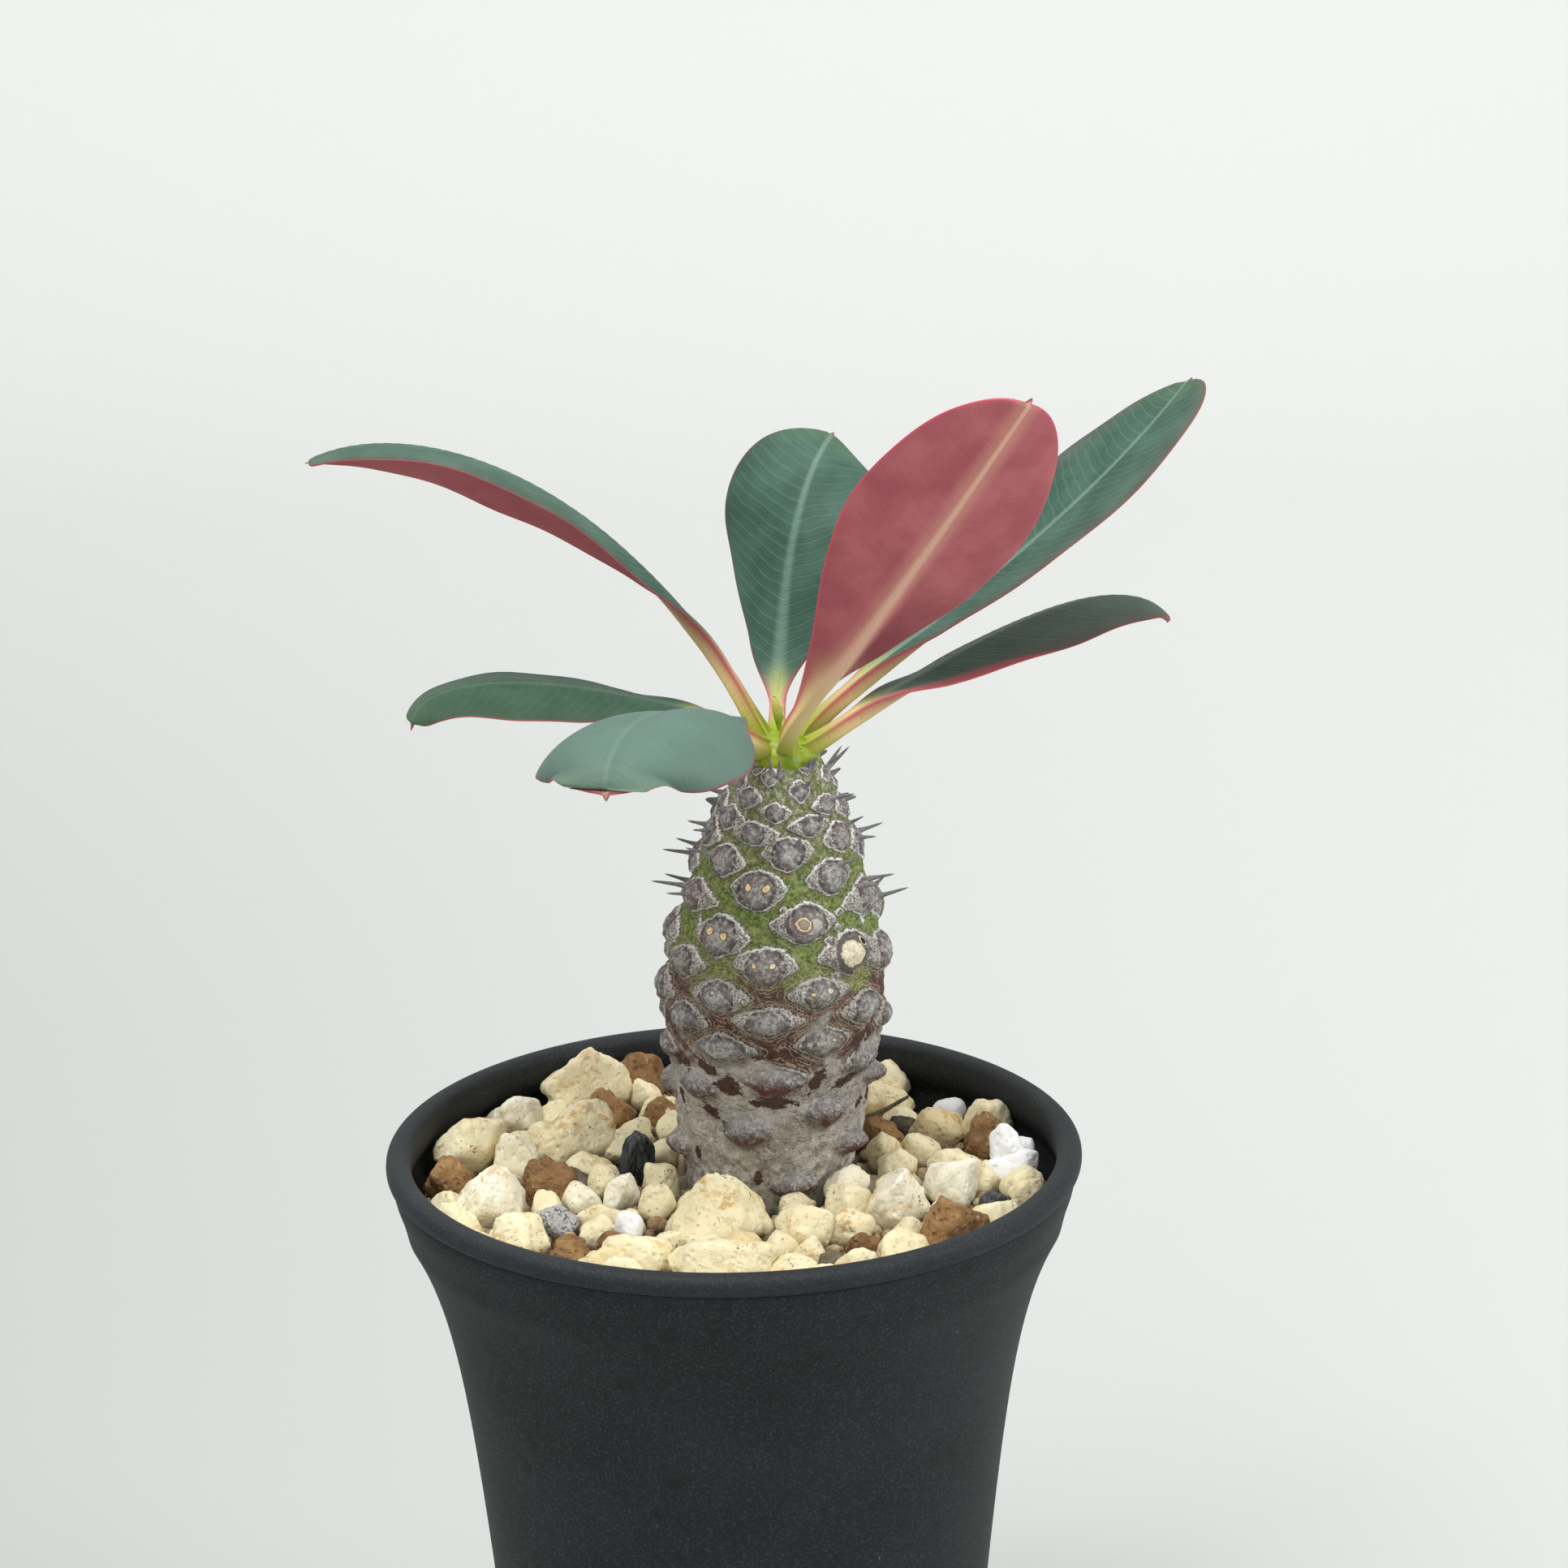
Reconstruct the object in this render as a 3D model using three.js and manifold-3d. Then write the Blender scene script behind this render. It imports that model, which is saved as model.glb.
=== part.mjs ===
// Potted Euphorbia pachypodioides: a short swollen stem with raised leaf cushions and thorns,
// seven open leaves round its growing tip, in a flared pot filled with loose mineral grit.
//
// Millimetres, +Z up. The origin is on the pot's axis, on the plane that the pot stands on.
// The photo is taken from the -Y side, with +X to the right.
// Azimuths are in degrees from -Y towards +X, and elevations are above the horizon.

import * as THREE from 'three';
import { mergeVertices } from 'three/addons/utils/BufferGeometryUtils.js';
import { ConvexGeometry } from 'three/addons/geometries/ConvexGeometry.js';
import Module from 'manifold-3d';

const wasm = await Module();
wasm.setup();

// Driving dimensions

const GAP = 0.3;                      // clearance between pieces that touch on the real plant

const POT_HEIGHT = 100;
const RIM_RADIUS = 45;                // a 9 cm pot
const BASE_RADIUS = 28.7;
const WALL_SLOPE = 0.096;             // growth in radius for each millimetre of height
const FLARE = 6.2;                    // further growth at FLARE_HEIGHT, dying away downwards
const FLARE_HEIGHT = 92;
const FLARE_REACH = 11.4;
const WALL = 1.5;
const FLOOR = 2.4;
const LIP_DEPTH = 5;                  // height of the rolled bead at the rim
const LIP_WIDTH = 3.2;
const POT_SIDES = 48;
const DRAIN_SLOTS = 6;
const DRAIN_LENGTH = 11;
const DRAIN_WIDTH = 3;
const DRAIN_RADIUS = 17;              // from the pot's axis to the middle of a slot

const SOIL_TOP = 91.4;                // the level that the top stones are bedded in
const STONE_SEAT = 0.4;               // a stone's middle is at most this share of its height above that
const SCATTER_TRIES = 2600;
const STEM_HOLE_CLEAR = 0.5;          // round the buried foot of the stem
const STEM_STONE_CLEAR = 1.7;         // round the stem among the top stones, past its cushions
const FACET_SLACK = 0.15;             // covers the flat sides of the pot's inner wall

const STEM_X = 4.4;                   // the stem's axis where it enters the soil
const STEM_Y = 8;
const LEAN = 0.0456;                  // the axis moves this far along +X for each millimetre up
const LEAN_FROM = 91;
const STEM_TOP = 149.6;
const STEM_FOOT = 78;
const STEM_SIDES = 50;
const STEM_RINGS = 35;
const STEM_RISE = 92;                 // the cushions show above this height

const CUSHION_TURN = 137.88;          // the angle between one leaf cushion and the next
const CUSHION_START = -9;
const FIRST_CUSHION = -52;            // counted from the one at mid height, growing downwards
const LAST_CUSHION = 39;
const THORN_LOWEST = 127;             // thorns stand above this height only
const THORN_MISSING = 0.22;           // share of thorns that have broken off
const THORN_RADIUS = 0.3;
const THORN_SINK = 0.9;               // share of a cushion's relief that hides the foot of its thorns
const THORNS_IN_VIEW = 126;           // farther round than this from the viewer, thorns are drawn

// Small tools: a repeatable random draw, a curve through points, and solids

function randomDraw(seed) {
  let state = seed >>> 0;
  return () => {
    state = (state + 0x6d2b79f5) >>> 0;
    let t = state;
    t = Math.imul(t ^ (t >>> 15), t | 1);
    t ^= t + Math.imul(t ^ (t >>> 7), t | 61);
    return ((t ^ (t >>> 14)) >>> 0) / 4294967296;
  };
}

const radians = THREE.MathUtils.degToRad;
const smooth = (t) => THREE.MathUtils.smoothstep(t, 0, 1);

// A smooth curve through [place, value] points: cubic between points, with the slope at each
// point taken from its two neighbours.
function curveThrough(points, place) {
  const last = points.length - 1;
  if (place <= points[0][0]) return points[0][1];
  if (place >= points[last][0]) return points[last][1];
  let i = 0;
  while (points[i + 1][0] < place) i += 1;
  const slope = (k) => {
    const a = points[Math.max(k - 1, 0)];
    const b = points[Math.min(k + 1, last)];
    return (b[1] - a[1]) / (b[0] - a[0]);
  };
  const span = points[i + 1][0] - points[i][0];
  const t = (place - points[i][0]) / span;
  const rise = points[i + 1][1] - points[i][1];
  const near = slope(i) * span - rise;
  const far = rise - slope(i + 1) * span;
  return points[i][1] + rise * t + t * (1 - t) * (near * (1 - t) + far * t);
}

function direction(azimuth, elevation) {
  const a = radians(azimuth);
  const e = radians(elevation);
  return new THREE.Vector3(Math.cos(e) * Math.sin(a), -Math.cos(e) * Math.cos(a), Math.sin(e));
}

function toSolid(geometry) {
  const bare = geometry.index ? geometry.toNonIndexed() : geometry.clone();
  bare.deleteAttribute('normal');
  bare.deleteAttribute('uv');
  const merged = mergeVertices(bare, 1e-4);
  const vertProperties = new Float32Array(merged.attributes.position.array);
  const triVerts = new Uint32Array(merged.index.array);
  return new wasm.Manifold(new wasm.Mesh({ numProp: 3, vertProperties, triVerts }));
}

// The body itself, without the loose scraps and sealed specks that a cut can leave
function mainBody(solid) {
  return solid.decompose().sort((a, b) => b.volume() - a.volume())[0];
}

function toGeometry(solid) {
  const mesh = mainBody(solid).getMesh();
  const geometry = new THREE.BufferGeometry();
  geometry.setAttribute('position', new THREE.BufferAttribute(new Float32Array(mesh.vertProperties), 3));
  geometry.setIndex(new THREE.BufferAttribute(new Uint32Array(mesh.triVerts), 1));
  return geometry;
}

// Rings of points, each with the same count, skinned into one closed body with flat ends.
// The points of a ring run anticlockwise as seen from the last ring.
function skin(rings, tip = null) {
  const count = rings[0].length;
  const position = rings.flat().flatMap((p) => [p.x, p.y, p.z]);
  const index = [];
  for (let i = 0; i + 1 < rings.length; i += 1) {
    for (let j = 0; j < count; j += 1) {
      const a = i * count + j;
      const b = i * count + ((j + 1) % count);
      const c = b + count;
      const d = a + count;
      // Both faces of a blade are split along the same diagonal, mirrored at the margin.
      if (j < count / 2) index.push(a, b, c, a, c, d);
      else index.push(a, b, d, b, c, d);
    }
  }
  const start = new THREE.Vector3();
  rings[0].forEach((p) => start.addScaledVector(p, 1 / count));
  const end = tip ? tip.clone() : new THREE.Vector3();
  if (!tip) rings[rings.length - 1].forEach((p) => end.addScaledVector(p, 1 / count));
  position.push(start.x, start.y, start.z, end.x, end.y, end.z);
  const startIndex = rings.length * count;
  const lastRing = (rings.length - 1) * count;
  for (let j = 0; j < count; j += 1) {
    const k = (j + 1) % count;
    index.push(startIndex, k, j);
    index.push(startIndex + 1, lastRing + j, lastRing + k);
  }
  const geometry = new THREE.BufferGeometry();
  geometry.setAttribute('position', new THREE.Float32BufferAttribute(position, 3));
  geometry.setIndex(index);
  return geometry;
}

// A profile of [radius, height] points turned about a vertical axis
function turned(profile, sides, x = 0, y = 0) {
  const geometry = new THREE.LatheGeometry(profile.map(([r, z]) => new THREE.Vector2(r, z)), sides);
  geometry.rotateX(Math.PI / 2);
  geometry.translate(x, y, 0);
  return geometry;
}

const group = new THREE.Group();

function addPiece(name, geometry, color, roughness, metalness = 0) {
  const shape = geometry.clone();
  shape.computeVertexNormals();
  const mesh = new THREE.Mesh(shape, new THREE.MeshStandardMaterial({ color, roughness, metalness }));
  mesh.name = name;
  group.add(mesh);
}

// Pot: a thin flared wall with a rolled lip and slots in its floor

function wallRadius(z) {
  return BASE_RADIUS + WALL_SLOPE * z + FLARE * Math.exp((z - FLARE_HEIGHT) / FLARE_REACH);
}

function potGeometry() {
  const lipFoot = POT_HEIGHT - LIP_DEPTH;
  const outerHeights = [1.2, 30, 54, 68, 78, 85, 90];
  const innerHeights = [93, 89, 83, 74, 60, 36];
  const profile = [[0, 0], [BASE_RADIUS - 1.2, 0]];
  outerHeights.forEach((z) => profile.push([wallRadius(z), z]));
  profile.push([RIM_RADIUS - 1.1, lipFoot - 0.6]);
  profile.push([RIM_RADIUS - 0.2, lipFoot + 0.9]);
  profile.push([RIM_RADIUS, lipFoot + 2.4]);
  profile.push([RIM_RADIUS - 0.6, POT_HEIGHT - 0.7]);
  profile.push([RIM_RADIUS - LIP_WIDTH / 2, POT_HEIGHT]);
  profile.push([RIM_RADIUS - LIP_WIDTH + 0.4, POT_HEIGHT - 0.7]);
  profile.push([RIM_RADIUS - LIP_WIDTH, POT_HEIGHT - 2.4]);
  innerHeights.forEach((z) => profile.push([wallRadius(z) - WALL, z]));
  profile.push([wallRadius(FLOOR) - WALL, FLOOR]);
  profile.push([0, FLOOR]);
  let pot = toSolid(turned(profile, POT_SIDES));
  for (let i = 0; i < DRAIN_SLOTS; i += 1) {
    const slot = new THREE.BoxGeometry(DRAIN_LENGTH, DRAIN_WIDTH, 3 * FLOOR);
    slot.translate(DRAIN_RADIUS, 0, FLOOR / 2);
    slot.rotateZ(((i + 0.5) * 2 * Math.PI) / DRAIN_SLOTS);
    pot = pot.subtract(toSolid(slot));
  }
  return toGeometry(pot);
}

// Stem: a leaning body of revolution, raised in a cushion under each old leaf

const STEM_BODY = [
  [78, 5.5], [82, 8.2], [86, 9.6], [90, 10.6], [93, 11.2], [97, 12.6], [103, 13.5], [111, 13.9],
  [119, 14.1], [125, 13.5], [130, 12.2], [136, 10.5], [141, 8.8], [145, 7.1],
  [147.4, 6], [149.6, 4.8],
];
// Height of a cushion by its number
const CUSHION_HEIGHTS = [
  [-52, 149.6], [-44, 147.6], [-37, 144.9], [-26, 141.8], [-16, 136.8], [-8, 131.2], [0, 125.8],
  [8, 121.5], [18, 115.6], [26, 110.3], [34, 103], [39, 96],
];
// Half width, half height and relief of a cushion, by its height on the stem
const CUSHION_HALF_WIDTH = [
  [96, 4.4], [112, 4.7], [124, 4.5], [132, 4.4], [139, 3.5], [144, 2.5], [149.6, 1.1],
];
const CUSHION_HALF_HEIGHT = [
  [96, 2.4], [112, 2.6], [124, 2.7], [132, 2.7], [139, 2.2], [144, 1.6], [149.6, 1.0],
];
const CUSHION_RELIEF = [[96, 1.1], [112, 1.3], [124, 1.6], [132, 1.4], [139, 1.0], [149, 0.4]];

const stemX = (z) => STEM_X + LEAN * Math.max(0, z - LEAN_FROM);
const stemBody = (z) => curveThrough(STEM_BODY, z);

const cushions = [];
for (let n = FIRST_CUSHION; n <= LAST_CUSHION; n += 1) {
  const z = curveThrough(CUSHION_HEIGHTS, n);
  cushions.push({
    number: n,
    z,
    azimuth: CUSHION_START - CUSHION_TURN * n,
    halfWidth: curveThrough(CUSHION_HALF_WIDTH, z),
    halfHeight: curveThrough(CUSHION_HALF_HEIGHT, z),
    relief: curveThrough(CUSHION_RELIEF, z),
  });
}

// The relief at a place on the stem is that of the highest cushion there. A cushion falls off
// as (1 - d^2)^0.8, where d is the distance from its middle with rounded-diamond contours.
function relief(azimuth, z, radius) {
  let highest = 0;
  for (const c of cushions) {
    const up = (z - c.z) / c.halfHeight;
    if (Math.abs(up) >= 1) continue;
    const turn = THREE.MathUtils.euclideanModulo(azimuth - c.azimuth + 180, 360) - 180;
    const across = (radians(turn) * radius) / c.halfWidth;
    const d = Math.pow(Math.pow(Math.abs(across), 1.5) + Math.pow(Math.abs(up), 1.5), 1 / 1.5);
    if (d < 1) highest = Math.max(highest, c.relief * Math.pow(1 - d * d, 0.8));
  }
  return highest;
}

function stemRing(z, grow, raised) {
  const ring = [];
  for (let j = 0; j < STEM_SIDES; j += 1) {
    const azimuth = (j * 360) / STEM_SIDES;
    const body = stemBody(z);
    const radius = body + grow + (raised ? relief(azimuth, z, body) : 0);
    const out = direction(azimuth, 0);
    ring.push(new THREE.Vector3(stemX(z) + radius * out.x, STEM_Y + radius * out.y, z));
  }
  return ring;
}

function stemSkin(grow = 0) {
  const rings = [stemRing(STEM_FOOT, grow, false), stemRing(STEM_FOOT + 8, grow, false)];
  for (let i = 0; i <= STEM_RINGS; i += 1) {
    rings.push(stemRing(STEM_RISE + ((STEM_TOP - STEM_RISE) * i) / STEM_RINGS, grow, true));
  }
  rings[rings.length - 1].forEach((p) => p.setZ(STEM_TOP + grow));
  return skin(rings);
}

// Thorns stand in pairs on the upper shoulders of the cushions. Old ones are worn short.
// Those in view, by the number of their cushion: side of it, turn away to that side, climb, length
const THORNS_SEEN = {
  '-52': [[-1, 5, 50, 1.5]], '-50': [[-1, 0, 62, 1.3], [1, 0, 60, 1.4]],
  '-49': [[-1, 5, 40, 2.4], [1, 5, 30, 2.1]], '-48': [[-1, 32, 46, 2.6]],
  '-47': [[-1, 12, 72, 2.7], [1, 6, 74, 2.5]], '-45': [[-1, 0, 62, 3.1], [1, 8, 40, 2.5]],
  '-44': [[-1, 8, 30, 2.2], [1, 0, 35, 1.6]], '-42': [[-1, 0, 40, 0.8], [1, 12, 45, 1.8]],
  '-40': [[1, 5, 20, 1.5]], '-39': [[-1, 10, 26, 1.9]], '-37': [[1, 24, 10, 2.9]],
  '-36': [[-1, 5, 12, 2.2]], '-34': [[-1, 10, 30, 0.8]], '-32': [[1, 5, 8, 1.5]],
  '-31': [[-1, 10, 20, 1]], '-29': [[-1, 0, 50, 0.7], [1, 8, 45, 0.8]],
  '-28': [[-1, -12, 3, 1.6], [1, 12, 24, 1.3]], '-27': [[1, 0, 15, 1.5]], '-24': [[1, 8, 28, 2.4]],
  '-23': [[-1, 4, 10, 2.4], [1, 0, 7, 2.3]], '-21': [[-1, 0, 30, 0.7], [1, 6, 60, 1.6]],
  '-19': [[-1, 4, 10, 2.1], [1, 4, 12, 3.2]], '-18': [[-1, 22, 18, 3.5]], '-16': [[1, 18, 25, 2.6]],
  '-15': [[-1, 0, 14, 2.9], [1, 6, 7, 3.8]], '-14': [[1, 0, 10, 1.2]],
  '-11': [[-1, -8, 12, 2.4], [1, 6, 14, 3.1]], '-10': [[-1, 8, 13, 4.2], [1, -10, 5, 3.3]],
  '-7': [[-1, 0, 35, 1], [1, 30, 20, 3]], '-6': [[-1, 5, 16, 3.8], [1, 5, 33, 1.7]],
};

function thorn(cushion, [side, spread, climb, length]) {
  const place = cushion.z + 0.2 * cushion.halfHeight;
  const radius = stemBody(place);
  const azimuth = cushion.azimuth + side * THREE.MathUtils.radToDeg((0.34 * cushion.halfWidth) / radius);
  const out = direction(azimuth, 0);
  const full = length + THORN_SINK * cushion.relief;
  const cone = new THREE.ConeGeometry(THORN_RADIUS, full, 3, 1);
  cone.translate(0, full / 2, 0);
  const along = direction(azimuth + side * spread, climb);
  cone.applyQuaternion(new THREE.Quaternion().setFromUnitVectors(new THREE.Vector3(0, 1, 0), along));
  cone.translate(stemX(place) + radius * out.x, STEM_Y + radius * out.y, place);
  return toSolid(cone);
}

function stemGeometry() {
  const draw = randomDraw(11);
  const thorns = [];
  for (const c of cushions) {
    const round = THREE.MathUtils.euclideanModulo(c.azimuth + 180, 360) - 180;
    const seen = THORNS_SEEN[c.number] ?? [];
    for (const side of [-1, 1]) {
      const whole = draw();
      const drawn = [side, 16 * draw(), 8 + 30 * draw(), 1 + 2.4 * draw()];
      const hidden = Math.abs(round) > THORNS_IN_VIEW && c.z > THORN_LOWEST;
      if (hidden && whole > THORN_MISSING) thorns.push(thorn(c, drawn));
    }
    seen.forEach((row) => thorns.push(thorn(c, row)));
  }
  const body = toSolid(stemSkin());
  return toGeometry(wasm.Manifold.union([body, ...thorns]));
}

// Growing tip: a low bright dome on the stem's top, with one small unopened leaf

const TIP_X = stemX(STEM_TOP);
const TIP_PROFILE = [[4.2, 0.3], [4.2, 0.9], [3.7, 1.8], [2.9, 2.6], [1.7, 3.1]];

function tipDome(grow) {
  const profile = [[0, STEM_TOP + 0.3 - grow]];
  TIP_PROFILE.forEach(([r, z]) => profile.push([r + grow, STEM_TOP + z + (z > 0.5 ? grow : -grow)]));
  profile.push([0, STEM_TOP + 3.3 + grow]);
  return toSolid(turned(profile, 20, TIP_X, STEM_Y));
}

// Leaves

const LEAF_THICK = 0.7;
const STALK_SHARE = 0.085;            // stalk width as a share of blade width
const STALK_END = 0.12;               // share of the leaf's length where the blade begins
const WIDEST_AT = 0.68;               // share of the leaf's length
const BEAK = 1.3;                     // length of the fine point at the leaf's end

// Each leaf leaves the tip at its seat and follows one bend to its end:
// seat: azimuth, radius and height on the growing tip; end: where its tip is;
// leaves, arrives: heading there, as azimuth and elevation; reach: how strongly each heading is kept;
// roll: turn about its own length at the start, middle and end, right edge up;
// fold: both halves raised at the midrib; curl: further raise towards the margins; width: blade width.
const LEAVES = [
  { name: 'leaf_upper_left', seat: [-118, 2.4, 151.8], end: [-52.7, 20.8, 186.6], leaves: [-101.5, 64],
    arrives: [-100.7, -26.5], reach: [37.6, 15.9], roll: [1.7, 45.4, 12.8], fold: -13.5, curl: -5.8,
    width: 25.1 },
  { name: 'leaf_lower_left', seat: [-88, 3.3, 150.9], end: [-39.4, -2, 158.1], leaves: [-86.9, 80.5],
    arrives: [-52.4, -70.4], reach: [5.4, 10.9], roll: [7.7, -7, 8.6], fold: -6.2, curl: -3.3,
    width: 24.7 },
  { name: 'leaf_front', seat: [-48, 3, 151], end: [-14.2, -33.6, 158.2], leaves: [-34.1, 34.7],
    arrives: [169.4, -67.1], reach: [35.2, 5], roll: [40, 4.6, -0.9], fold: 11.2, curl: -75.8,
    width: 29.8 },
  { name: 'leaf_back', seat: [-162, 2.4, 151.6], end: [14.2, 34.5, 185.3], leaves: [177.5, 17.9],
    arrives: [158, 13.7], reach: [14.3, 18.6], roll: [2.8, -31, 29.1], fold: -6.4, curl: -12.2,
    width: 24.4 },
  { name: 'leaf_near_right', seat: [17, 2.6, 151.2], end: [37.5, -15.8, 201.5], leaves: [-17.6, 56.7],
    arrives: [66, 56.3], reach: [7, 45.7], roll: [-13.6, -56.3, -41.8], fold: 4.3, curl: 9.2,
    width: 25 },
  { name: 'leaf_upper_right', seat: [134, 3, 151.4], end: [60.1, 25.9, 193.8], leaves: [119.6, 49.9],
    arrives: [139.9, 30.3], reach: [8.6, 35.5], roll: [13.1, 6, -21.4], fold: 4, curl: 2, width: 25.1 },
  { name: 'leaf_lower_right', seat: [79, 3.1, 151.1], end: [57.2, 25.2, 162.6], leaves: [88.4, 33.9],
    arrives: [98.9, -55.5], reach: [13.4, 12.8], roll: [1, -15.3, -11.9], fold: -10.9, curl: -5.8,
    width: 25 },
];
const BUD = { seat: [-165, 0.8, 151.8], end: [6.4, 8.6, 157.4], leaves: [-165, 80],
  arrives: [-100, 86], reach: [2, 2], roll: [0, 0, 0], fold: 40, curl: 10, width: 2.2 };

// Share of the full width at share s of the length: a narrow stalk, then a blade that is widest
// past its middle and blunt at its end.
function leafOutline(s) {
  const t = Math.max(0, (s - STALK_END) / (1 - STALK_END));
  const swell = Math.sin(Math.PI * Math.pow(t, 1.53));
  const blade = Math.pow(Math.max(swell, 0), s < WIDEST_AT ? 0.9 : 0.42);
  return STALK_SHARE * (1 - Math.pow(s, 8)) + (1 - STALK_SHARE) * blade;
}

function leafPath(leaf) {
  const [azimuth, radius, height] = leaf.seat;
  const out = direction(azimuth, 0);
  const start = new THREE.Vector3(TIP_X + radius * out.x, STEM_Y + radius * out.y, height);
  const end = new THREE.Vector3(...leaf.end);
  const first = start.clone().addScaledVector(direction(...leaf.leaves), leaf.reach[0]);
  const second = end.clone().addScaledVector(direction(...leaf.arrives), -leaf.reach[1]);
  return new THREE.CubicBezierCurve3(start, first, second, end);
}

function leafRing(leaf, path, s) {
  const middle = path.getPointAt(s);
  const along = path.getTangentAt(s);
  const side = new THREE.Vector3(-along.y, along.x, 0).normalize();
  const up = new THREE.Vector3().crossVectors(along, side);
  const [r0, r1, r2] = leaf.roll;
  const roll = radians(r0 * (1 - s) ** 2 + 2 * r1 * s * (1 - s) + r2 * s * s);
  const across = side.clone().multiplyScalar(Math.cos(roll)).addScaledVector(up, Math.sin(roll));
  const normal = up.clone().multiplyScalar(Math.cos(roll)).addScaledVector(side, -Math.sin(roll));
  const halfWidth = (leaf.width / 2) * leafOutline(s);
  const ribHalf = Math.min(0.5 + 1.1 * (1 - s), 0.45 * halfWidth);
  const ribDepth = 0.1 + 1.2 * Math.pow(1 - s, 1.3) * Math.min(1, leaf.width / 12);
  const places = [halfWidth, (halfWidth + ribHalf) / 2, ribHalf, 0];
  const open = smooth((s - 0.1) / 0.25);
  const point = (x, half, face) => {
    const v = x / Math.max(halfWidth, 1e-6);
    const angle = radians(35 * (1 - open) + leaf.fold * open + (leaf.curl * open * v) / 2);
    const rib = ribDepth * Math.max(0, 1 - (x / (1.6 * ribHalf)) ** 2);
    const lift = face > 0 ? LEAF_THICK / 2 : -LEAF_THICK / 2 - rib;
    const p = middle.clone();
    p.addScaledVector(across, half * (x * Math.cos(angle) - lift * Math.sin(angle)));
    p.addScaledVector(normal, x * Math.sin(angle) + lift * Math.cos(angle));
    return p;
  };
  const ring = [];
  places.forEach((x) => ring.push(point(x, 1, 1)));
  places.slice(0, 3).reverse().forEach((x) => ring.push(point(x, -1, 1)));
  places.forEach((x) => ring.push(point(x, -1, -1)));
  places.slice(0, 3).reverse().forEach((x) => ring.push(point(x, 1, -1)));
  return ring;
}

function leafSolid(leaf, stations) {
  const path = leafPath(leaf);
  const rings = stations.map((s) => leafRing(leaf, path, s));
  const beakLength = BEAK * Math.min(1, leaf.width / 12);
  const beak = path.getPointAt(1).addScaledVector(path.getTangentAt(1), beakLength);
  return toSolid(skin(rings, beak));
}

const LEAF_STATIONS = [0, 0.07, 0.15, 0.23, 0.31, 0.4, 0.49, 0.58, 0.67, 0.76, 0.84, 0.91, 0.96, 0.99];
const BUD_STATIONS = [0, 0.3, 0.55, 0.75, 0.92];

// Stones

// A stone is a rounded many-sided lump: the p-norm of a dozen flat sides, which are spread
// evenly round the ball, nudged at random, and set at slightly different depths.
const STONE_SIDES = 12;
const STONE_SHARPNESS = 9;
const GOLDEN_ANGLE = Math.PI * (3 - Math.sqrt(5));

function evenDirections(count) {
  const directions = [];
  for (let i = 0; i < count; i += 1) {
    const z = 1 - (2 * i + 1) / count;
    const flat = Math.sqrt(1 - z * z);
    const turn = GOLDEN_ANGLE * i;
    directions.push(new THREE.Vector3(flat * Math.cos(turn), flat * Math.sin(turn), z));
  }
  return directions;
}

function stoneSolid(stone, grow = 0) {
  const draw = randomDraw(stone.seed);
  const sides = evenDirections(STONE_SIDES).map((d) => {
    const nudge = new THREE.Vector3(draw() - 0.5, draw() - 0.5, draw() - 0.5);
    return { normal: d.addScaledVector(nudge, 0.7).normalize(), depth: 0.8 + 0.25 * draw() };
  });
  const size = Math.max(stone.length, stone.width, stone.height);
  const corners = evenDirections(size > 8 ? 20 : size > 5.5 ? 14 : 12).map((d) => {
    let sum = 0;
    sides.forEach(({ normal, depth }) => {
      sum += Math.pow(Math.max(0, d.dot(normal)) / depth, STONE_SHARPNESS);
    });
    const reach = Math.pow(sum, -1 / STONE_SHARPNESS);
    return new THREE.Vector3(
      d.x * (reach * stone.length / 2 + grow),
      d.y * (reach * stone.width / 2 + grow),
      d.z * (reach * stone.height / 2 + grow),
    );
  });
  const geometry = new ConvexGeometry(corners);
  geometry.rotateX(radians(stone.tilt));
  geometry.rotateZ(radians(stone.turn));
  geometry.translate(stone.x, stone.y, stone.z);
  return toSolid(geometry);
}

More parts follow.
